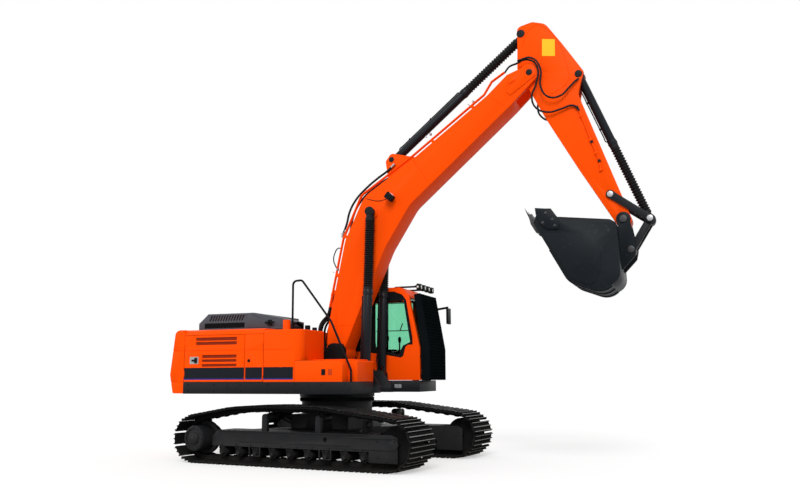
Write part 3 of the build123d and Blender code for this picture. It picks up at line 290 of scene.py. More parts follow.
track_black = coat("track_black", (0.008, 0.008, 0.009), 0.8, 0.3, 0.5, 35, dust=0.12, dust_top=1.0,
                   gloss=0.0)
worn_bar = coat("worn_bar", (0.20, 0.20, 0.195), 0.42, 0.35, 0.4, 50, 0.6)
pins = even_steps(chain_line(loop_radius - pin_depth), shoe_count)
for hand, sign in hands.items():
    shoe = cut_plate("shoe", Matrix(), shoe_outline, -shoe_half, shoe_half)
    for face in shoe.data.polygons:
        face.material_index = 1 if face.center.z > 0.075 else 0
    shoe.data.materials.append(track_black)
    shoe.data.materials.append(worn_bar)
    heads = [bar("bolt", Matrix(), (x, y, 0.051), (x, y, 0.063), 0.014, 6)
             for x in (-0.038, 0.038) for y in (-0.062, 0.062)]
    sides = [cut_plate("link", Matrix(), link_outline, y - 0.014, y + 0.014) for y in (-0.068, 0.068)]
    bush = bar("bush", Matrix(), (0.095, -0.088, 0), (0.095, 0.088, 0), 0.030, 14)
    for steel in (*heads, *sides, bush):
        steel.data.materials.append(track_black)
    shoe = gather("shoe", [shoe, *heads, *sides, bush])
    places = []
    for n in range(shoe_count):
        a, b = pins[n - 1], pins[n]
        run = (b - a).normalized()
        out = Vector((run.y, -run.x))
        middle = (a + b) / 2
        turn = Matrix(((run.x, 0, out.x), (0, 1, 0), (run.y, 0, out.y))).to_4x4()
        places.append(lower_axes @ Matrix.Translation((middle.x, sign * track_y, middle.y)) @ turn)
    track = gather(f"track_shoes_{hand}", copy_to(shoe, places))
    take_up(track)
    bpy.ops.object.mode_set(mode="EDIT")
    bpy.ops.mesh.select_all(action="SELECT")
    bpy.ops.mesh.normals_make_consistent(inside=False)
    bpy.ops.object.mode_set(mode="OBJECT")
    fit(track, "undercarriage", "track_steel")
    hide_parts(f"track_{hand}")

# Side frames, centre frame and swing bearing
# Welded boxes of thick plate, painted a dark grey. Each side frame carries the rollers below, the final
# drive behind and a sliding fork for the idler in front, between two guard plates.
record = frame["record"]
body_of = {node: body for body, members in record["behaviour"]["bodies"].items() for node in members}
slot_of = {entry["node"]: entry["material_slot"] for entry in record["subparts"]}


def eased(node, edge, *finishes, name=None, steps=2, corner=35, flat=0.4):
    """A node's solid with its flat faces whole again and its edges rounded, as plate and castings are."""
    piece = bpy.data.objects.new(name or f"{node}_made", frame["nodes"][node].data.copy())
    bpy.context.collection.objects.link(piece)
    take_up(piece)
    if piece.data.has_custom_normals:
        bpy.ops.mesh.customdata_custom_splitnormals_clear()
    bpy.ops.object.mode_set(mode="EDIT")
    bpy.ops.mesh.select_all(action="SELECT")
    bpy.ops.mesh.remove_doubles(threshold=0.00005)
    bpy.ops.mesh.dissolve_limited(angle_limit=radians(flat))
    bpy.ops.object.mode_set(mode="OBJECT")
    soften(piece, edge, steps, corner)
    fit(piece, body_of[node], slot_of[node], *finishes)
    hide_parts(node)
    return piece


def block(name, axes, low, high, edge=0.0, steps=1):
    """A squared bar or plate between two corners in a body's axes."""
    outline = [(low[0], low[2]), (high[0], low[2]), (high[0], high[2]), (low[0], high[2])]
    return cut_plate(name, axes, outline, low[1], high[1], edge, steps)


def turned(name, axes, start, end, profile, sides=28, corner=50):
    """A round piece turned about a line: distances along it and radii, closed where the radius is nothing."""
    deselect()
    steps = len(profile) - 1
    bpy.ops.mesh.primitive_grid_add(x_subdivisions=steps, y_subdivisions=sides, size=1)
    piece = bpy.context.object
    piece.name = name
    for vertex in piece.data.vertices:
        along, radius = profile[round((vertex.co.x + 0.5) * steps)]
        turn = round((vertex.co.y + 0.5) * sides) * 2 * pi / sides
        vertex.co = (radius * cos(turn), radius * sin(turn), along)
    bpy.ops.object.mode_set(mode="EDIT")
    bpy.ops.mesh.select_all(action="SELECT")
    bpy.ops.mesh.remove_doubles(threshold=0.00002)
    bpy.ops.mesh.normals_make_consistent(inside=False)
    bpy.ops.object.mode_set(mode="OBJECT")
    bpy.ops.object.shade_smooth_by_angle(angle=radians(corner))
    run = Vector(end) - Vector(start)
    piece.matrix_world = axes @ Matrix.Translation(start) @ run.to_track_quat("Z", "Y").to_matrix().to_4x4()
    take_up(piece)
    bpy.ops.object.transform_apply()
    return piece


def hose(name, axes, points, radius, closed=False, ring=3, steps=5):
    """A hose, pipe, weld or rubber edge along a smooth line through a body's axes."""
    deselect()
    line = bpy.data.curves.new(name, "CURVE")
    line.dimensions = "3D"
    line.bevel_depth = radius
    line.bevel_resolution = ring
    line.use_fill_caps = not closed
    run = line.splines.new("BEZIER")
    run.bezier_points.add(len(points) - 1)
    run.use_cyclic_u = closed
    run.resolution_u = steps
    for knot, point in zip(run.bezier_points, points):
        knot.co = point
        knot.handle_left_type = knot.handle_right_type = "VECTOR" if steps == 1 else "AUTO"
    piece = bpy.data.objects.new(name, line)
    bpy.context.collection.objects.link(piece)
    piece.matrix_world = axes
    take_up(piece)
    bpy.ops.object.convert(target="MESH")
    piece = bpy.context.object
    bpy.ops.object.transform_apply()
    bpy.ops.object.shade_smooth_by_angle(angle=radians(50))
    return piece


def carve(piece, cutters):
    """Cuts grooves or openings into a finished piece."""
    for cutter in cutters:
        take_up(piece)
        cut = piece.modifiers.new("Cut", "BOOLEAN")
        cut.operation = "DIFFERENCE"
        cut.object = cutter
        bpy.ops.object.modifier_apply(modifier=cut.name)
        bpy.data.objects.remove(cutter)
    return piece


dark_coat = coat("dark_coat", (0.009, 0.010, 0.012), 0.42, 0.18, 0.2, 60, dust=0.12, dust_top=1.0,
                 gloss=0.12)
for hand in hands:
    eased(f"track_frame_{hand}", 0.008, dark_coat)
for node in ("carbody", "final_drives", "idlers", "carrier_rollers", "swing_bearing"):
    eased(node, 0.006, dark_coat if node != "idlers" else track_black)
eased("track_rollers", 0.006, track_black)
rim = [(0, 0.150), (0, 0.190), (0.012, 0.194), (0.016, 0.190), (0.016, 0.154), (0, 0.150)]
cap = [(0, 0), (0, 0.098), (0.022, 0.094), (0.030, 0.080), (0.030, 0.040), (0.036, 0.032), (0.036, 0)]
roller_pitch, roller_first, roller_z = (1.330 + 1.308) / 8, -1.308, 0.178
for hand, sign in hands.items():
    face = sign * (track_y + 0.330)
    hub = [turned("rim", lower_axes, (sprocket_x, face, 0.390), (sprocket_x, face + sign, 0.390), rim, 48),
           turned("cap", lower_axes, (sprocket_x, face, 0.390), (sprocket_x, face + sign, 0.390), cap, 40)]
    for n in range(12):
        x, z = sprocket_x + 0.172 * cos(n * pi / 6), 0.390 + 0.172 * sin(n * pi / 6)
        hub.append(bar("hub_bolt", lower_axes, (x, face + sign * 0.012, z), (x, face + sign * 0.030, z),
                       0.012, 6))
    for n in range(6):
        x, z = sprocket_x + 0.064 * cos(n * pi / 3 + 0.3), 0.390 + 0.064 * sin(n * pi / 3 + 0.3)
        hub.append(bar("cap_bolt", lower_axes, (x, face + sign * 0.026, z), (x, face + sign * 0.040, z),
                       0.008, 6))
    fit(gather(f"final_drive_bolts_{hand}", hub), "undercarriage", "dark_paint", dark_coat)
    side = sign * (track_y + 0.215)
    bolts = []
    for n in range(9):
        x = roller_first + n * roller_pitch
        for step in (-0.045, 0.045):
            bolts.append(bar("foot_bolt", lower_axes, (x + step, side - sign * 0.002, 0.258),
                             (x + step, side + sign * 0.020, 0.258), 0.012, 6))
        bolts.append(turned("roller_cap", lower_axes, (x, side + sign * 0.011, roller_z),
                            (x, side + sign, roller_z), [(0, 0), (0, 0.030), (0.010, 0.026), (0.010, 0)],
                            20))
    for n in range(10):
        x = -1.32 + n * 0.292
        bolts.append(bar("frame_bolt", lower_axes, (x, side + sign * 0.013, 0.305),
                         (x, side + sign * 0.024, 0.305), 0.011, 6))
    for x, z in [(1.56, 0.44), (1.86, 0.44), (1.56, 0.20), (1.86, 0.20), (1.71, 0.15), (1.71, 0.485)]:
        bolts.append(bar("guard_bolt", lower_axes, (x, side, z), (x, side + sign * 0.016, z), 0.015, 6))
    bolts.append(turned("idler_cap", lower_axes, (1.84, side - sign * 0.004, 0.39),
                        (1.84, side + sign, 0.39), [(0, 0), (0, 0.078), (0.016, 0.074), (0.020, 0.060),
                                                    (0.020, 0)], 32))
    bolts.append(hose("step_weld", lower_axes, [(-0.96, side + sign * 0.002, 0.352),
                                                (1.10, side + sign * 0.002, 0.352)], 0.006, steps=1))
    fit(gather(f"side_frame_bolts_{hand}", bolts), "undercarriage", "dark_paint", dark_coat)
tooth = cut_plate("ring_tooth", Matrix(), [(0.617, 0.975), (0.636, 0.975), (0.636, 1.030),
                                           (0.617, 1.030)], -0.011, 0.011)
teeth = copy_to(tooth, [lower_axes @ Matrix.Rotation(n * 2 * pi / 96, 4, "Z") for n in range(96)])
fit(gather("ring_gear_teeth", teeth), "undercarriage", "track_steel", track_black)

# Upper frame
# A welded deck with the boom's brackets and the cylinders' lugs, and a dark skirt along both sides.
eased("upper_frame", 0.006, dark_coat)
upper_axes = Matrix.Translation((swing_x, 0, 0))
plate_grey = coat("plate_grey", (0.36, 0.37, 0.37), 0.5, 0.12, 0.2, 90)
seams = [block("skirt_joint", upper_axes, (x, -1.3575, 1.125), (x + 0.010, -1.354, 1.285))
         for x in (-1.35, -0.62, 0.12)]
seams += [bar("skirt_bolt", upper_axes, (x, -1.354, z), (x, -1.366, z), 0.011, 6)
          for x in (-2.10, -1.60, -1.10, -0.60, -0.10, 0.35, 0.75) for z in (1.150, 1.262)]
seams += [bar("skirt_bolt", upper_axes, (x, 1.354, z), (x, 1.366, z), 0.011, 6)
          for x in (-2.10, -1.60, -1.10, -0.60, -0.10, 0.40, 0.80, 1.20) for z in (1.150, 1.262)]
fit(gather("skirt_bolts", seams), "upper", "dark_paint", dark_coat)
louvre = [block("deck_louvre", upper_axes, (0.892 + n * 0.026, 0.434, 1.180),
                (0.908 + n * 0.026, 0.441, 1.243)) for n in range(5)]
fit(gather("deck_louvres", louvre), "upper", "hood_paint", plate_grey)

# Counterweight
# One heavy casting with a bulged rear face, painted orange like the body.
orange_coat = coat("orange_coat", (1.0, 0.078, 0.0), 0.40, 0.03, 0.05, 90, gloss=0.05)
tail = eased("counterweight", 0.012, orange_coat, corner=30)
for height, reach in ((1.812, 2.754), (1.300, 2.772)):
    ring = [(0, reach), (0, 3.0), (0.010, 3.0), (0.010, reach), (0, reach)]
    carve(tail, [turned("groove", upper_axes, (0, 0, height - 0.005), (0, 0, 3), ring, 360)])
    for hand in (-1, 1):
        near, far = sorted((hand * 1.349, hand * 1.40))
        carve(tail, [block("groove", upper_axes, (-2.50, near, height - 0.005),
                           (-2.18, far, height + 0.005))])

# Body panels, tank and tool box
# Sheet steel doors in a housing, a fuel tank with a rounded front, and a low tool box that is also the step.
stripe_black = coat("stripe_black", (0.006, 0.008, 0.012), 0.34, 0.05, 0.03, 90, gloss=0.12)
stripe_blue = coat("stripe_blue", (0.008, 0.016, 0.19), 0.34, 0.05, 0.03, 90, clear=0.2)
# The vents' fins and back plates are coloured a dark red: painted shade of the orange louvres in their
# recesses.
vent_painted_shade = coat("vent_painted_shade", (0.30, 0.030, 0.006), 0.6, 0.15, 0.3, 120)
black_plastic = coat("black_plastic", (0.004, 0.005, 0.006), 0.5, 0.2, 0.3, 150, gloss=0.08)
side_y, crease_z = 1.355, 1.812
made = {node: eased(node, 0.005, orange_coat) for node in ("body_housing", "right_rear_door",
                                                           "right_front_door", "left_rear_door",
                                                           "left_front_door", "fuel_tank", "toolbox",
                                                           "toolbox_lid")}
# Each door and the tank: body, rear and front end of its crease and of its stripe, hand
side_panels = [("right_rear_door", -2.175, -1.035, -1), ("right_front_door", -1.010, -0.703, -1),
               ("fuel_tank", -0.678, -0.148, -1), ("left_rear_door", -2.175, -1.290, 1),
               ("left_front_door", -1.265, -0.400, 1)]
for node, rear, front, hand in side_panels:
    body = body_of[node]
    near, far = sorted((hand * (side_y - 0.006), hand * 1.40))
    carve(made[node], [block("groove", upper_axes, (rear - 0.03, near, crease_z - 0.005),
                             (front + (0.01 if node == "fuel_tank" else 0.03), far, crease_z + 0.005))])
    near, far = sorted((hand * side_y, hand * (side_y + 0.0012)))
    fit(block(f"{node}_stripe", upper_axes, (rear, near, 1.357), (front, far, 1.533)), body,
        "black_plastic", stripe_black)
    fit(block(f"{node}_blue_line", upper_axes, (rear, near, 1.337), (front, far, 1.357)), body,
        "black_plastic", stripe_blue)
    if node.endswith("rear_door"):
        fins = []
        # The dark red fins and the dark plate behind them are painted shade in the orange louvres' recesses.
        for low, high, start in [(1.975, 2.028, -1.965), (1.905, 1.956, -1.965), (1.690, 1.742, -1.840),
                                 (1.625, 1.668, -1.840), (1.550, 1.593, -1.840)]:
            near, far = sorted((hand * (side_y - 0.0181), hand * (side_y - 0.0150)))
            end = front - 0.145
            fins.append(block("vent_shade_plate", upper_axes, (start + 0.004, near, low + 0.003),
                              (end - 0.004, far, high - 0.003)))
            near, far = sorted((hand * (side_y - 0.017), hand * (side_y - 0.004)))
            for n in range(int((end - start) / 0.024)):
                x = start + 0.012 + n * 0.024
                fins.append(block("vent_fin", upper_axes, (x, near, low + 0.002),
                                  (x + 0.005, far, high - 0.002)))
        fit(gather(f"{node}_vents", fins), body, "orange_paint", vent_painted_shade)
    latch_x = {"right_rear_door": -1.985, "left_rear_door": -1.400}.get(node)
    if latch_x:
        near, far = sorted((hand * side_y, hand * (side_y + 0.004)))
        fit(block(f"{node}_latch_plate", upper_axes, (latch_x - 0.084, near, 1.596),
                  (latch_x + 0.084, far, 1.713), 0.002), body, "hood_paint", plate_grey)
        near, far = sorted((hand * (side_y + 0.003), hand * (side_y + 0.020)))
        grip = [block("latch", upper_axes, (latch_x + 0.010, near, 1.612), (latch_x + 0.062, far, 1.698),
                      0.006, 2), block("latch", upper_axes, (latch_x - 0.045, near, 1.640),
                                       (latch_x + 0.020, far, 1.668), 0.005, 2)]
        fit(gather(f"{node}_latch", grip), body, "black_plastic", black_plastic)
    elif node != "fuel_tank":
        y = hand * (side_y + 0.001)
        lock = [turned("lock", upper_axes, (rear + 0.06, y - hand * 0.004, 1.640),
                       (rear + 0.06, hand * 9, 1.640), [(0, 0), (0, 0.026), (0.010, 0.024),
                                                        (0.012, 0.014), (0.006, 0)], 24)]
        fit(gather(f"{node}_lock", lock), body, "black_plastic", black_plastic)

# The tool box: a dark slotted step and a vent on its side, and treads on its steps
steps = [block("step_slot", upper_axes, (0.345, -1.3560, 1.400), (0.413, -1.3548, 1.495)),
         block("lid_lock", upper_axes, (0.30, -1.02, 1.651), (0.36, -0.96, 1.664), 0.003)]
# The tool box vent's dark red slats are painted shade of its orange louvres.
vent = [block("step_vent", upper_axes, (0.463 + n * 0.014, -1.3565, 1.400),
              (0.471 + n * 0.014, -1.3548, 1.495)) for n in range(5)]
for x in (-0.05, 0.12, 0.29, 0.46):
    steps.append(block("tread", upper_axes, (x, -1.335, 1.6285), (x + 0.10, -1.130, 1.6345), 0.002))
fit(gather("toolbox_steps", steps), "upper", "black_plastic", black_plastic)
fit(gather("toolbox_vent", vent), "upper", "orange_paint", vent_painted_shade)
studs = []
for x in range(5):
    for y in range(3):
        studs.append(turned("stud", upper_axes, (-0.62 + x * 0.035, -1.19 + y * 0.035, 2.1298),
                            (-0.62 + x * 0.035, -1.19 + y * 0.035, 9),
                            [(0, 0), (0, 0.011), (0.004, 0.008), (0.004, 0)], 10))
fit(gather("tank_studs", studs), "upper", "orange_paint", orange_coat)
fit(turned("stub_cap", upper_axes, (-0.430, -1.060, 2.262), (-0.430, -1.060, 9),
           [(0, 0), (0, 0.045), (0.012, 0.045), (0.020, 0.038), (0.024, 0)], 32), "upper",
    "black_plastic", black_plastic)
eased("engine", 0.02, track_black)
hood_coat = coat("hood_coat", (0.058, 0.064, 0.076), 0.46, 0.1, 0.35, 120)
eased("engine_hood", 0.015, hood_coat)
for node in ("deck_fittings", "handrail", "mirrors", "cab_consoles", "cab_fittings"):
    eased(node, 0.004, black_plastic)

# The hood's mesh band, its rim and its lever
hood_side, hood_far = -0.930, 0.700
band = []
for y, hand in ((hood_side, -1), (hood_far, 1)):
    near, far = sorted((y, y + hand * 0.003))
    band.append(block("band", upper_axes, (-2.085, near, 2.206), (-1.300, far, 2.292)))
    near, far = sorted((y + hand * 0.002, y + hand * 0.010))
    for n in range(37):
        x = -2.076 + n * 0.021
        band.append(block("band_bar", upper_axes, (x, near, 2.210), (x + 0.006, far, 2.288)))
fit(gather("hood_mesh_bands", band), "engine_hood", "black_plastic", black_plastic)
trim = []
for y, hand, rear, front in ((hood_side, -1, -2.180, -0.420), (hood_far, 1, -2.180, -1.140),
                             (-0.500, 1, -1.100, -0.420)):
    near, far = sorted((y - hand * 0.004, y + hand * 0.014))
    trim.append(block("rim", upper_axes, (rear, near, 2.163), (front, far, 2.196), 0.005, 2))
bulge = [(-1.250, 2.196), (-0.760, 2.196), (-0.800, 2.260), (-1.130, 2.405), (-1.225, 2.425)]
trim.append(cut_plate("bulge", upper_axes, bulge, hood_side - 0.022, hood_side + 0.004, 0.010, 2))
for x in (-2.00, -1.62, -1.24):
    trim.append(block("top_rib", upper_axes, (x, -0.86, 2.446), (x + 0.05, 0.62, 2.458), 0.005, 2))
fit(gather("hood_trim", trim), "engine_hood", "hood_paint", hood_coat)
lever = [bar("lever_pin", upper_axes, (-0.80, -0.948, 2.275), (-0.80, -0.985, 2.275), 0.016, 16),
         block("lever", upper_axes, (-0.885, -0.985, 2.262), (-0.705, -0.972, 2.290), 0.004, 2),
         block("lever_foot", upper_axes, (-0.835, -0.978, 2.225), (-0.765, -0.950, 2.320), 0.004, 2)]
fit(gather("hood_lever", lever), "engine_hood", "black_plastic", black_plastic)

# Cab
# A pressed steel cell with tinted panes in black rubber, a black frame round the right window, and a mesh
# guard of welded bars in front of the windscreen.
for node in ("cab_shell", "cab_door"):
    eased(node, 0.008, orange_coat)
guard_black = coat("guard_black", (0.004, 0.006, 0.007), 0.7, 0.2, 0.2, 120, gloss=0.0)
eased("cab_guard", 0.006, guard_black)
cab_right, cab_left = 0.455, 1.355
window_frame = [(-0.31, 1.870), (0.62, 1.768), (1.000, 1.700), (1.045, 1.728), (1.090, 1.885),
                (1.135, 1.922), (1.222, 1.922), (1.218, 2.040), (1.105, 2.700), (1.030, 2.800),
                (0.880, 2.858), (-0.31, 2.858)]
window_hole = [(0.52, 1.838), (0.962, 1.742), (1.045, 1.900), (1.180, 1.962), (1.062, 2.700), (0.52, 2.700)]
cover = cut_plate("right_window_frame", upper_axes, window_frame, cab_right - 0.0035, cab_right, 0.001)
carve(cover, [cut_plate("hole", upper_axes, window_hole, cab_right - 0.05, cab_right + 0.05)])
fit(cover, "upper", "black_plastic", black_plastic)
rubber = coat("rubber", (0.005, 0.005, 0.006), 0.6, 0.25, 0.3, 130)
seals = [hose("seal", upper_axes, [(x, cab_right + 0.004, z) for x, z in window_hole], 0.009, True, 2, 1),
         bar("window_bar", upper_axes, (0.54, cab_right + 0.008, 2.165), (1.145, cab_right + 0.008, 2.165),
            0.008, 10),
         bar("window_catch", upper_axes, (0.985, cab_right + 0.008, 2.165), (1.035, cab_right + 0.008, 2.290),
            0.010, 10),
         hose("seal", upper_axes,
             [(-0.347, y, z) for y, z in [(0.575, 1.96), (1.235, 1.96), (1.235, 2.67), (0.575, 2.67)]],
              0.010, True, 2, 1)]
fit(gather("window_seals", seals), "upper", "rubber_black", rubber)
column = block("cab_column", upper_axes, (0.60, cab_right + 0.050, 1.36), (0.73, cab_right + 0.120, 2.86),
               0.01, 2)
fit(column, "upper", "black_plastic", black_plastic)
guard_line = [(1.530, 1.315), (1.530, 1.850), (1.361, 2.800)]
lattice = []
for n in range(23):
    y = cab_right + 0.030 + n * 0.0375
    outline = [*guard_line, *[(x + 0.007, z) for x, z in reversed(guard_line)]]
    lattice.append(cut_plate("upright", upper_axes, outline, y, y + 0.009))
for n in range(28):
    z = 1.345 + n * 0.053
    x = 1.530 if z < 1.85 else 1.530 - (z - 1.85) * 0.178
    lattice.append(block("rung", upper_axes, (x - 0.004, cab_right + 0.010, z),
                         (x + 0.012, cab_left - 0.010, z + 0.009)))
rim = [(1.388, 1.312), (1.530, 1.312), (1.530, 1.850), (1.362, 2.806), (1.258, 2.788), (1.388, 1.850)]
for y in (cab_right, cab_left):
    lattice.append(hose("guard_rim", upper_axes, [(x, y, z) for x, z in rim], 0.009, True, 2, 1))
for y in (cab_right - 0.004, cab_left - 0.004):
    for z in (1.40, 1.72, 2.10, 2.45):
        x = 1.46 if z < 1.85 else 1.46 - (z - 1.85) * 0.155
        lattice.append(bar("guard_bolt", upper_axes, (x, y, z), (x, y + 0.008, z), 0.014, 6))
fit(gather("guard_lattice", lattice), "upper", "dark_paint", guard_black)
lens_white = coat("lens_white", (0.80, 0.80, 0.76), 0.12, 0.04, 0.2, 160, clear=0.4, gloss=0.5)
lenses, hoods = [], []
for n in range(4):
    y = cab_right + 0.065 + n * 0.220 + 0.055
    lenses.append(turned("lens", upper_axes, (1.345, y, 2.9325), (9, y, 2.9325),
                         [(0, 0), (0, 0.040), (0.005, 0.036), (0.009, 0.020), (0.010, 0)], 24))
    lenses.append(turned("lens", upper_axes, (1.300, y - 0.0548, 2.9325), (1.300, -9, 2.9325),
                         [(0, 0), (0, 0.020), (0.002, 0.018), (0.002, 0)], 16))
    hoods.append(turned("lens_ring", upper_axes, (1.342, y, 2.9325), (9, y, 2.9325),
                        [(0, 0.040), (0, 0.050), (0.014, 0.050), (0.014, 0.043), (0, 0.040)], 28))
    hoods.append(bar("lamp_bolt", upper_axes, (1.285, y, 2.985), (1.285, y, 2.998), 0.010, 6))
fit(gather("roof_lenses", lenses), "upper", "tinted_glass", lens_white)
fit(gather("roof_lamp_rings", hoods), "upper", "black_plastic", black_plastic)
roof = [block("hatch", upper_axes, (0.18, 0.62, 2.926), (0.78, 1.19, 2.948), 0.010, 2)]
for y in (0.56, 1.25):
    roof.append(block("roof_rib", upper_axes, (-0.26, y - 0.02, 2.926), (0.88, y + 0.02, 2.938), 0.006, 2))
fit(gather("roof_hatch", roof), "upper", "orange_paint", orange_coat)
grips = [hose("grab_rail", upper_axes, [(1.20, 1.350, 1.50), (1.20, 1.400, 1.56), (1.16, 1.405, 1.90),
                                        (1.12, 1.400, 2.22), (1.11, 1.350, 2.28)], 0.013),
         hose("hatch_grip", upper_axes, [(0.40, 0.80, 2.945), (0.40, 0.80, 2.985), (0.40, 1.00, 2.985),
                                         (0.40, 1.00, 2.945)], 0.009)]
fit(gather("cab_grips", grips), "upper", "black_plastic", black_plastic)
handle = [block("handle_plate", upper_axes, (0.84, 1.353, 1.660), (0.97, 1.360, 1.740), 0.003, 2),
          hose("handle", upper_axes,
               [(0.86, 1.357, 1.700), (0.88, 1.385, 1.700), (0.93, 1.385, 1.700), (0.95, 1.357, 1.700)],
               0.008),
          hose("door_seal", upper_axes,
               [(x, 1.351, z) for x, z in [(-0.08, 1.86), (0.92, 1.86), (0.92, 2.73), (-0.08, 2.73)]],
               0.009, True, 2, 1)]
fit(gather("cab_door_fittings", handle), "cab_door", "black_plastic", black_plastic)
mirror_glass = coat("mirror_glass", (0.75, 0.78, 0.80), 0.06, 0.02, 0.0, 60, 1.0)
glass_plate = block("mirror_face", upper_axes, (1.5575, 1.375, 2.34), (1.5600, 1.515, 2.56), 0.0008)
fit(glass_plate, "upper", "rod_chrome", mirror_glass)

# Seat
# Foam cushions under black cloth, on a plain box, with arm rests on the consoles.
seat_cloth = coat("seat_cloth", (0.02, 0.02, 0.022), 0.9, 0.2, 0.6, 300)
seat_y = 0.905


def cushion(name, place, size, crown):
    """A stuffed pad: crowned on both faces and pulled in between its corners."""
    deselect()
    bpy.ops.mesh.primitive_cube_add(size=2)
    pad = bpy.context.object
    pad.name = name
    bpy.ops.object.mode_set(mode="EDIT")
    bpy.ops.mesh.subdivide(number_cuts=7)
    bpy.ops.object.mode_set(mode="OBJECT")
    for vertex in pad.data.vertices:
        u, v, w = vertex.co
        swell = (1 - u * u) * (1 - v * v)
        pinch = 1 - 0.05 * (1 - w * w) * (1 - min(abs(u), abs(v)) ** 2)
        vertex.co = (u * pinch * size[0] / 2, v * pinch * size[1] / 2,
                     w * (size[2] / 2 - crown + crown * swell))
    smooth = pad.modifiers.new("Foam", "SUBSURF")
    smooth.levels = smooth.render_levels = 2
    take_up(pad)
    bpy.ops.object.modifier_apply(modifier=smooth.name)
    bpy.ops.object.shade_smooth()
    pad.matrix_world = place
    bpy.ops.object.transform_apply()
    return pad


pads = [("seat_cushion", (0.49, seat_y, 1.702), 0, (0.56, 0.49, 0.125), 0.025),
        ("seat_back", (0.222, seat_y, 2.02), 83, (0.52, 0.46, 0.125), 0.025),
        ("head_rest", (0.165, seat_y, 2.37), 83, (0.15, 0.27, 0.105), 0.022)]
for name, middle, lean, size, crown in pads:
    place = upper_axes @ Matrix.Translation(middle) @ Matrix.Rotation(radians(lean), 4, "Y")
    pad = cushion(name, place, size, crown)
    fit(pad, "upper", "seat_fabric", seat_cloth)
    if name == "seat_cushion":
        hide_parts("operator_seat")
base = [block("seat_box", upper_axes, (0.26, seat_y - 0.17, 1.355), (0.70, seat_y + 0.17, 1.64), 0.015, 2),
        bar("rest_post", upper_axes, (0.200, seat_y - 0.05, 2.24), (0.178, seat_y - 0.05, 2.36), 0.008, 12),
        bar("rest_post", upper_axes, (0.200, seat_y + 0.05, 2.24), (0.178, seat_y + 0.05, 2.36), 0.008, 12)]
for hand in (-1, 1):
    y = seat_y + hand * 0.310
    base.append(block("arm_rest", upper_axes, (0.30, y - 0.045, 1.829), (0.62, y + 0.045, 1.868), 0.014, 2))
    base.append(turned("lever_knob", upper_axes, (0.70, y, 1.985), (0.70, y, 9),
                       [(0, 0), (0, 0.016), (0.02, 0.026), (0.06, 0.030), (0.10, 0.024), (0.115, 0)], 20))
fit(gather("seat_base", base), "upper", "black_plastic", black_plastic)


def tinted_glass(name, colour):
    """Clear tinted safety glass."""
    finish = bpy.data.materials.new(name)
    finish.use_nodes = True
    shader = finish.node_tree.nodes["Principled BSDF"]
    shader.inputs["Base Color"].default_value = (*colour, 1)
    shader.inputs["Roughness"].default_value = 0.03
    shader.inputs["IOR"].default_value = 1.2
    shader.inputs["Transmission Weight"].default_value = 1.0
    return finish


green_glass = tinted_glass("green_glass", (0.42, 0.78, 0.60))
for node in ("cab_glass", "windscreen", "cab_door_glass"):
    frame["nodes"][node].data.materials.clear()
    frame["nodes"][node].data.materials.append(green_glass)

# Boom
# A welded box beam of orange steel plate with a cast fork. Steel oil pipes run along its back, and hoses
# join them to the machine's frame, to the cylinders and to the arm.
def tilted(x, z, angle):
    """A body's axes in the middle plane: x along the angle, y to the left."""
    return Matrix.Translation((x, 0, z)) @ Matrix.Rotation(-radians(angle), 4, "Y")


def pin_cap(name, axes, place, out, radius, rim=0.012, height=0.016):
    """The domed plate that closes a pin's end."""
    x, _, z = place
    dome = [(0, 0), (0, radius), (rim, radius - 0.004), (height, radius * 0.5), (height, 0)]
    return turned(name, axes, place, (x, out, z), dome, 28)


boom_length, arm_length = 5.700, 2.900
boom_angle, arm_angle, bucket_angle = 52.55, -61.6, 171.7
boom_axes = tilted(swing_x + 0.060, 1.775, boom_angle)
tip = boom_axes @ Vector((boom_length, 0, 0))
arm_axes = tilted(tip.x, tip.z, arm_angle)
arm_end = arm_axes @ Vector((arm_length, 0, 0))
bucket_axes = tilted(arm_end.x, arm_end.z, bucket_angle)
boom_side, arm_side = 0.235, 0.165
weld_radius = 0.0055
pipe_lines = (0.187, 0.219)
eased("boom", 0.010, orange_coat)
eased("boom_pipes", 0.0, orange_coat)
eased("boom_lamp", 0.004, black_plastic)
fitting_steel = coat("fitting_steel", (0.42, 0.42, 0.43), 0.35, 0.12, 0.2, 120, 0.9)
welds = []
for hand in (-1, 1):
    y = hand * boom_side
    for (x1, z1), (x2, z2) in [((0.331, 0.353), (0.562, 0.035)), ((5.03, 0.300), (5.03, 0.020)),
                               ((3.447, 0.820), (3.298, 0.400))]:
        welds.append(hose("weld", boom_axes, [(x1, y, z1), (x2, y, z2)], weld_radius, steps=1))
    for x, z, radius in [(0, 0, 0.105), (boom_length, 0, 0.082)]:
        welds.append(turned("boss", boom_axes, (x, hand * 0.234, z), (x, hand * 9, z),
                            [(0, 0), (0, radius), (0.012, radius - 0.004), (0.012, 0)], 40))
fit(gather("boom_welds", welds), "boom", "orange_paint", orange_coat)
pins_made = []
for hand in (-1, 1):
    pins_made.append(turned("ram_pin", boom_axes, (2.312, hand * 0.268, 0.890), (2.312, hand * 9, 0.890),
                            [(0, 0), (0, 0.037), (0.140, 0.037), (0.140, 0.082), (0.158, 0.078),
                             (0.162, 0.060), (0.162, 0.040), (0.170, 0.036), (0.170, 0)], 32))
    for n in range(3):
        x, z = 2.312 + 0.058 * cos(n * 2.1), 0.890 + 0.058 * sin(n * 2.1)
        pins_made.append(bar("pin_bolt", boom_axes, (x, hand * 0.428, z), (x, hand * 0.436, z), 0.008, 6))
    for x, z, y, radius in [(boom_length, 0, 0.246, 0.055), (0, 0, 0.275, 0.062),
                            (3.245, 1.228, 0.122, 0.048)]:
        pins_made.append(pin_cap("pin_cap", boom_axes, (x, hand * y, z), hand * 9, radius, 0.010, 0.014))
fit(gather("boom_pins", pins_made), "boom", "dark_paint", dark_coat)
hoses, ends = [], []
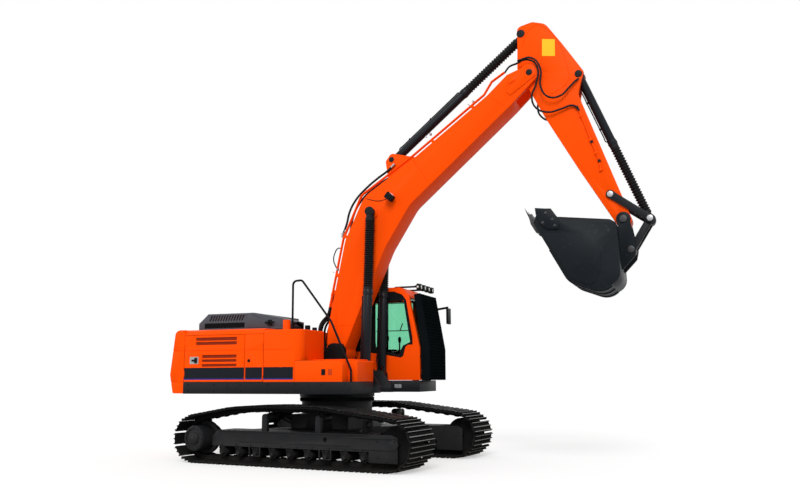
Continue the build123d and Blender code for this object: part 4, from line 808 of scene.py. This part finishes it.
for hand in (-1, 1):
    y = hand * 0.100
    hoses.append(hose("ram_hose", boom_axes, [(1.660, hand * 0.150, 1.165), (1.863, y, 1.245),
                                              (2.078, y, 1.335), (2.311, y, 1.366), (2.546, y, 1.335),
                                              (2.850, y * 1.3, 1.235), (3.060, y * 1.45, 1.150),
                                              (3.200, y * 1.5, 1.120)], 0.019))
    ends.append(bar("ferrule", boom_axes, (1.640, hand * 0.152, 1.153), (1.720, hand * 0.146, 1.190),
                    0.023, 12))
    ends.append(bar("ferrule", boom_axes, (3.130, y * 1.48, 1.132), (3.215, y * 1.5, 1.118), 0.023, 12))
hoses.append(hose("small_hose", boom_axes, [(1.480, -0.187, 1.040), (1.450, -0.180, 1.085),
                                            (1.340, -0.172, 1.085), (1.235, -0.172, 1.030),
                                            (1.175, -0.180, 0.930), (1.150, -0.187, 0.870)], 0.010))
hoses.append(hose("lamp_cable", boom_axes, [(2.441, -0.230, 1.170), (2.475, -0.241, 1.060),
                                            (2.540, -0.241, 0.930), (2.620, -0.241, 0.850),
                                            (2.700, -0.262, 0.800), (2.712, -0.290, 0.770)], 0.005))
fit(gather("boom_hoses", hoses), "boom", "rubber_black", rubber)
clamps = []
for x, z in [(1.077, 0.822), (1.700, 1.110), (3.897, 0.818), (4.738, 0.505)]:
    for hand in (-1, 1):
        for pipe in pipe_lines:
            ends.append(bar("pipe_nut", boom_axes, (x + 0.060, hand * pipe, z + 0.022),
                            (x + 0.095, hand * pipe, z + 0.037), 0.018, 6))
        for pipe in pipe_lines:
            clamps.append(bar("clamp_bolt", boom_axes, (x, hand * pipe, z + 0.060),
                              (x, hand * pipe, z + 0.082), 0.009, 6))
fit(gather("pipe_fittings", ends + clamps), "boom", "rod_chrome", fitting_steel)
lamp_face = [turned("lens", boom_axes, (2.762, -0.345, 0.753), (9, -0.345, 0.753),
                    [(0, 0), (0, 0.046), (0.004, 0.046), (0.010, 0.036), (0.014, 0.018), (0.015, 0)], 24)]
pink_lens = coat("pink_lens", (0.78, 0.52, 0.50), 0.15, 0.04, 0.2, 160, clear=0.4, gloss=0.5)
fit(gather("boom_lamp_lens", lamp_face), "boom", "tinted_glass", pink_lens)

# Hoses between the frame and the boom: from the pipes' ends they hang back and down between the brackets
upper_to_boom = []
for y, lag in [(-0.219, 0.02), (-0.187, 0.05), (-0.120, 0.09), (-0.050, 0.12), (0.050, 0.12), (0.120, 0.09),
               (0.187, 0.05), (0.219, 0.02)]:
    low_y = y * 0.75
    upper_to_boom.append(hose("boom_hose", upper_axes, [(-0.048, y, 2.560),
                                                        (-0.078 - lag * 0.3, y, 2.440),
                                                        (-0.170 - lag, y, 2.300),
                                                        (-0.215 - lag, (y + low_y) / 2, 2.120),
                                                        (-0.180 - lag, low_y, 1.930),
                                                        (-0.130 - lag * 0.6, low_y, 1.760),
                                                        (-0.120, low_y, 1.560), (-0.120, low_y, 1.300)],
                              0.020))
bundle = gather("boom_foot_hoses", upper_to_boom)
fit(bundle, "upper", "rubber_black", rubber)
bundle.parent = None
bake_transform(bundle)
valve = [block("valve_block", upper_axes, (-0.34, -0.20, 1.196), (-0.06, 0.20, 1.420), 0.015, 2),
         block("valve_lid", upper_axes, (-0.30, -0.16, 1.420), (-0.10, 0.16, 1.460), 0.010, 2)]
fit(gather("valve_block", valve), "upper", "dark_paint", dark_coat)
mid_block = [block("junction", boom_axes, (0.470, -0.200, 0.440), (0.560, 0.200, 0.560), 0.012, 2)]
fit(gather("hose_junction", mid_block), "boom", "dark_paint", dark_coat)

# Arm
# A tapered box beam of orange steel plate, hung in the boom's fork on a greased pin. It carries a blank
# yellow plate on each side, and two hoses a side that come over from the boom.
eased("arm", 0.010, orange_coat)
inset = [(-0.482, 0.127), (-0.623, 0.286), (-0.683, 0.437), (-0.669, 0.526), (-0.535, 0.601),
         (-0.289, 0.650), (0.002, 0.628), (0.305, 0.540), (0.456, 0.473), (0.504, -0.006)]
sign_yellow = coat("sign_yellow", (0.95, 0.52, 0.01), 0.4, 0.03, 0.03, 90)
arm_welds, arm_steel, arm_hoses, arm_pipes = [], [], [], []
for hand in (-1, 1):
    y = hand * arm_side
    arm_welds.append(hose("weld", arm_axes, [(x, y, z) for x, z in inset], weld_radius))
    arm_welds.append(hose("weld", arm_axes, [(1.716, y, -0.105), (2.676, y, -0.060)], weld_radius, steps=1))
    arm_welds.append(turned("boss", arm_axes, (arm_length, y - hand * 0.002, 0), (arm_length, hand * 9, 0),
                            [(0, 0), (0, 0.100), (0.004, 0.098), (0.004, 0)], 36))
    for x, z, radius in [(-0.70, 0.225, 0.070), (0.465, 0.640, 0.062)]:
        arm_steel.append(pin_cap("pin_cap", arm_axes, (x, y - hand * 0.002, z), hand * 9, radius))
    near, far = sorted((y, y + hand * 0.0015))
    plate = cut_plate(f"blank_plate_{'right' if hand < 0 else 'left'}", arm_axes,
                      [(-0.400, 0.465), (-0.269, 0.630), (-0.017, 0.488), (-0.146, 0.316)], near, far)
    fit(plate, "arm", "orange_paint", sign_yellow)
    out = hand * 0.262
    first = [(-0.248, out, -0.126), (-0.202, out, 0.079), (-0.014, out, 0.160), (0.257, out, -0.016),
             (0.394, out, -0.172), (0.593, out * 0.95, -0.212), (0.765, out * 0.90, -0.087),
             (0.838, out * 0.82, 0.131), (0.882, out * 0.76, 0.290), (0.962, hand * 0.190, 0.334),
             (1.020, hand * 0.188, 0.329)]
    second = [(-0.262, out * 1.12, -0.060), (-0.167, out * 1.12, 0.154), (0.084, out * 1.12, 0.179),
              (0.334, out * 1.08, 0.033), (0.547, out * 1.02, 0.040), (0.646, out * 0.95, 0.206),
              (0.600, out * 0.85, 0.400), (0.560, out * 0.78, 0.530), (0.545, hand * 0.184, 0.600)]
    for name, line in (("bucket_hose", first), ("ram_hose", second)):
        arm_hoses.append(hose(name, arm_axes, line, 0.016))
    boom_end, past_end = (tuple(arm_axes.inverted() @ (boom_axes @ Vector(place)))
                          for place in ((5.500, hand * 0.187, 0.372), (5.590, hand * 0.200, 0.366)))
    arm_hoses.append(hose("tip_hose", arm_axes, [boom_end, past_end, (-0.275, hand * 0.245, -0.190),
                                                 (-0.248, out, -0.110), (-0.228, out * 1.03, -0.020)],
                          0.016))
    pipe = [(0.960, hand * 0.188, 0.335), (1.049, hand * 0.186, 0.325), (1.530, hand * 0.186, 0.240),
            (1.618, hand * 0.186, 0.224), (1.880, hand * 0.186, 0.176), (2.036, hand * 0.186, 0.118)]
    arm_pipes.append(hose("arm_pipe", arm_axes, pipe, 0.013, steps=3))
    arm_pipes.append(block("clamp", arm_axes, (1.510, *sorted((hand * 0.160, hand * 0.202))[:1], 0.215),
                           (1.550, *sorted((hand * 0.160, hand * 0.202))[1:], 0.268), 0.004, 2))
    for x, z in [(0.950, 0.334), (1.570, 0.232), (1.900, 0.171)]:
        arm_steel.append(bar("pipe_nut", arm_axes, (x - 0.022, hand * 0.187, z + 0.004),
                             (x + 0.022, hand * 0.187, z - 0.004), 0.021, 6))
    for x, z in [(2.036, 0.118), (1.100, 0.316), (1.760, 0.198)]:
        near, far = sorted((hand * 0.160, hand * 0.205))
        arm_pipes.append(block("foot", arm_axes, (x - 0.018, near, z - 0.022),
                               (x + 0.018, far, z + 0.022), 0.004, 2))
fit(gather("arm_welds", arm_welds), "arm", "orange_paint", orange_coat)
fit(gather("arm_pipes", arm_pipes), "arm", "orange_paint", orange_coat)
fit(gather("arm_fittings", arm_steel), "arm", "dark_paint", dark_coat)
crossing = gather("arm_hoses", arm_hoses)
fit(crossing, "arm", "rubber_black", rubber)
crossing.parent = None
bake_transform(crossing)

# Bucket and its linkage
# A dark digging bucket of welded wear plate with forged teeth on adapters and bolted side cutters. It turns
# on the arm's end and is moved by two side links and a push link.
bucket_coat = coat("bucket_coat", (0.006, 0.009, 0.012), 0.42, 0.25, 0.35, 45, scuffs=0.25, gloss=0.10)
worn_steel = coat("worn_steel", (0.055, 0.055, 0.058), 0.36, 0.35, 0.4, 50, 0.6)
eased("bucket", 0.006, bucket_coat)
eased("idler_links", 0.006, dark_coat)
eased("push_link", 0.006, dark_coat)
lip = []
for n in range(5):
    y = (n / 4 - 0.5) * 2 * 0.540
    adapter = [(1.352, 0.075), (1.230, 0.215), (1.160, 0.330), (1.190, 0.372), (1.245, 0.372),
               (1.345, 0.245), (1.392, 0.120)]
    lip.append(cut_plate("adapter", bucket_axes, adapter, y - 0.046, y + 0.046, 0.008, 2))
    lip.append(bar("tooth_pin", bucket_axes, (1.322, y - 0.052, 0.165), (1.322, y + 0.052, 0.165), 0.014,
                   12))
for hand in (-1, 1):
    for x, z in [(1.120, 0.060), (1.010, 0.150), (0.960, 0.245), (1.150, 0.215)]:
        lip.append(bar("cutter_bolt", bucket_axes, (x, hand * 0.628, z), (x, hand * 0.650, z), 0.018, 6))
        lip.append(turned("washer", bucket_axes, (x, hand * 0.629, z), (x, hand * 9, z),
                          [(0, 0), (0, 0.026), (0.006, 0.024), (0.006, 0)], 20))
    for x, z, y, radius in [(0, 0, 0.252, 0.058), (-0.163, 0.460, 0.242, 0.056)]:
        lip.append(pin_cap("pin_cap", bucket_axes, (x, hand * y, z), hand * 9, radius))
fit(gather("bucket_fittings", lip), "bucket", "bucket_paint", worn_steel)
seams_made = []
for hand in (-1, 1):
    for line in ([(0.075, 0.125), (0.160, 0.088), (0.930, 0.108)], [(1.055, -0.014), (1.240, 0.000)]):
        seams_made.append(hose("seam", bucket_axes, [(x, hand * 0.598, z) for x, z in line], 0.007,
                               steps=1))
fit(gather("bucket_seams", seams_made), "bucket", "bucket_paint", bucket_coat)
link_pins = []
for hand in (-1, 1):
    for x, z in [(2.449, 0.036), (3.091, 0.341)]:
        link_pins.append(pin_cap("link_pin", arm_axes, (x, hand * 0.197, z), hand * 9, 0.050))
fit(gather("link_pins", link_pins), "idler_links", "dark_paint", fitting_steel)

# Cylinders
# Painted barrels with screwed glands and steel oil pipes. Black bellows cover the rods and keep dust off
# them, clamped to the gland at one end and to the rod's eye at the other.
cylinder_coat = coat("cylinder_coat", (0.007, 0.009, 0.012), 0.32, 0.12, 0.1, 90, gloss=0.16)
pin_at = {"boom": ((-0.610, 1.400), (-0.52770, 4.15164)), "arm": ((-0.22871, 5.09786), (2.10398, 7.02291)),
          "bucket": ((3.02313, 6.19550), (4.00911, 3.74333))}
# Each cylinder: places across the machine, barrel radius, gland's and rod eye's distance, folds
rams = {"boom": ((-0.360, 0.360), 0.078, 1.425, 0.072, 30), "arm": ((0,), 0.075, 1.733, 0.080, 22),
        "bucket": ((0,), 0.066, 1.310, 0.080, 24)}
for name, (across, radius, gland, eye, folds) in rams.items():
    eased(f"{name}_ram_barrel", 0.005, cylinder_coat)
    eased(f"{name}_ram_rod", 0.004, dark_coat)
    (x1, z1), (x2, z2) = pin_at[name]
    reach = hypot(x2 - x1, z2 - z1)
    axes = tilted(x1, z1, degrees(atan2(z2 - z1, x2 - x1)))
    first, last = gland + 0.0005, reach - eye - 0.040
    skins, pipes = [], []
    for y in across:
        step = (last - first - 0.090) / folds
        profile = [(first, radius - 0.019), (first, radius + 0.002), (first + 0.040, radius + 0.002),
                   (first + 0.045, radius - 0.006)]
        for n in range(folds):
            profile += [(first + 0.045 + (n + 0.5) * step, radius + 0.009),
                        (first + 0.045 + (n + 1) * step, radius - 0.011)]
        profile += [(last - 0.040, radius + 0.002), (last, radius + 0.002), (last, radius - 0.019),
                    (first, radius - 0.019)]
        skins.append(turned("folds", axes, (0, y, 0), (9, y, 0), profile, 28, 30))
        pipes.append(turned("gland", axes, (gland - 0.090, y, 0), (9, y, 0),
                            [(0, radius - 0.002), (0, radius + 0.007), (0.070, radius + 0.007),
                             (0.078, radius + 0.003), (0.088, radius + 0.003), (0.088, radius - 0.002),
                             (0, radius - 0.002)], 36))
        for n in range(8):
            turn = n * pi / 4 + 0.2
            rise, over = (radius + 0.006) * sin(turn), (radius + 0.006) * cos(turn)
            pipes.append(bar("gland_screw", axes, (gland - 0.060, y + over, rise),
                             (gland - 0.036, y + over, rise), 0.006, 6))
        top = radius + 0.016
        side = -1 if name == "bucket" else 1
        pipes.append(hose("oil_pipe", axes, [(0.200, y, side * (radius - 0.002)), (0.215, y, side * top),
                                             (0.300, y, side * top), (gland - 0.190, y, side * top),
                                             (gland - 0.120, y, side * top),
                                             (gland - 0.105, y, side * (radius - 0.002))], 0.010))
        for at in (0.45, 0.95):
            near, far = sorted((side * (radius - 0.004), side * (radius + 0.030)))
            pipes.append(block("pipe_clip", axes, (at, y - 0.020, near), (at + 0.030, y + 0.020, far),
                               0.004, 2))
    skin = gather(f"{name}_bellows", skins)
    fit(skin, f"{name}_ram_rod", "rubber_black", rubber)
    skin.parent = None
    start, end = axes @ Vector((first + 0.045, 0, 0)), axes @ Vector((last - 0.045, 0, 0))
    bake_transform(skin)
    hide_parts(f"{name}_ram_bellows")
    fit(gather(f"{name}_gland", pipes), f"{name}_ram_barrel", "cylinder_paint", cylinder_coat)

# Floor and light
# A pale studio floor and sky that show white to the camera and keep the machine's soft shadow.
floor_glow, floor_tone, sky_level = 0.46, 0.56, 0.60
bpy.ops.mesh.primitive_plane_add(size=400, location=(0, 0, 0))
floor = bpy.context.object
floor.name = "studio_floor"
floor_paint = bpy.data.materials.new("floor_paint")
floor_paint.use_nodes = True
floor_nodes, floor_links = floor_paint.node_tree.nodes, floor_paint.node_tree.links
floor_shader = floor_nodes["Principled BSDF"]
floor_shader.inputs["Base Color"].default_value = (floor_tone, floor_tone, floor_tone, 1)
floor_shader.inputs["Roughness"].default_value = 1.0
floor_shader.inputs["Specular IOR Level"].default_value = 0.0
floor_shader.inputs["Emission Color"].default_value = (1, 1, 1, 1)
floor_seen = floor_nodes.new("ShaderNodeLightPath")
floor_level = floor_nodes.new("ShaderNodeMath")
floor_level.operation = "MULTIPLY"
floor_level.inputs[1].default_value = floor_glow
floor_links.new(floor_seen.outputs["Is Camera Ray"], floor_level.inputs[0])
floor_links.new(floor_level.outputs["Value"], floor_shader.inputs["Emission Strength"])
floor.data.materials.append(floor_paint)

world = bpy.data.worlds.new("studio")
bpy.context.scene.world = world
world.use_nodes = True
sky_nodes, sky_links = world.node_tree.nodes, world.node_tree.links
background = sky_nodes["Background"]
background.inputs["Color"].default_value = (1, 1, 1, 1)
seen = sky_nodes.new("ShaderNodeLightPath")
direct = sky_nodes.new("ShaderNodeMath")
direct.operation = "MAXIMUM"
mirrored = sky_nodes.new("ShaderNodeMath")
mirrored.operation = "MAXIMUM"
sky_links.new(seen.outputs["Is Camera Ray"], direct.inputs[0])
sky_links.new(seen.outputs["Is Transmission Ray"], direct.inputs[1])
sky_links.new(direct.outputs["Value"], mirrored.inputs[0])
sky_links.new(seen.outputs["Is Glossy Ray"], mirrored.inputs[1])
level = sky_nodes.new("ShaderNodeMapRange")
level.inputs["To Min"].default_value = sky_level
level.inputs["To Max"].default_value = 1.0
sky_links.new(mirrored.outputs["Value"], level.inputs["Value"])
sky_links.new(level.outputs["Result"], background.inputs["Strength"])

for name, place, strength, spread in [("key", (4.0, -15.0, 12.0), 1.9, 30),
                                      ("fill", (-14.0, -9.0, 6.0), 0.5, 50)]:
    bpy.ops.object.light_add(type="SUN", location=place)
    lamp = bpy.context.object
    lamp.name = f"{name}_lamp"
    lamp.data.energy = strength
    lamp.data.angle = radians(spread)
    lamp.rotation_euler = (-Vector(place)).to_track_quat("-Z", "Y").to_euler()

bpy.context.scene.view_settings.view_transform = "Standard"
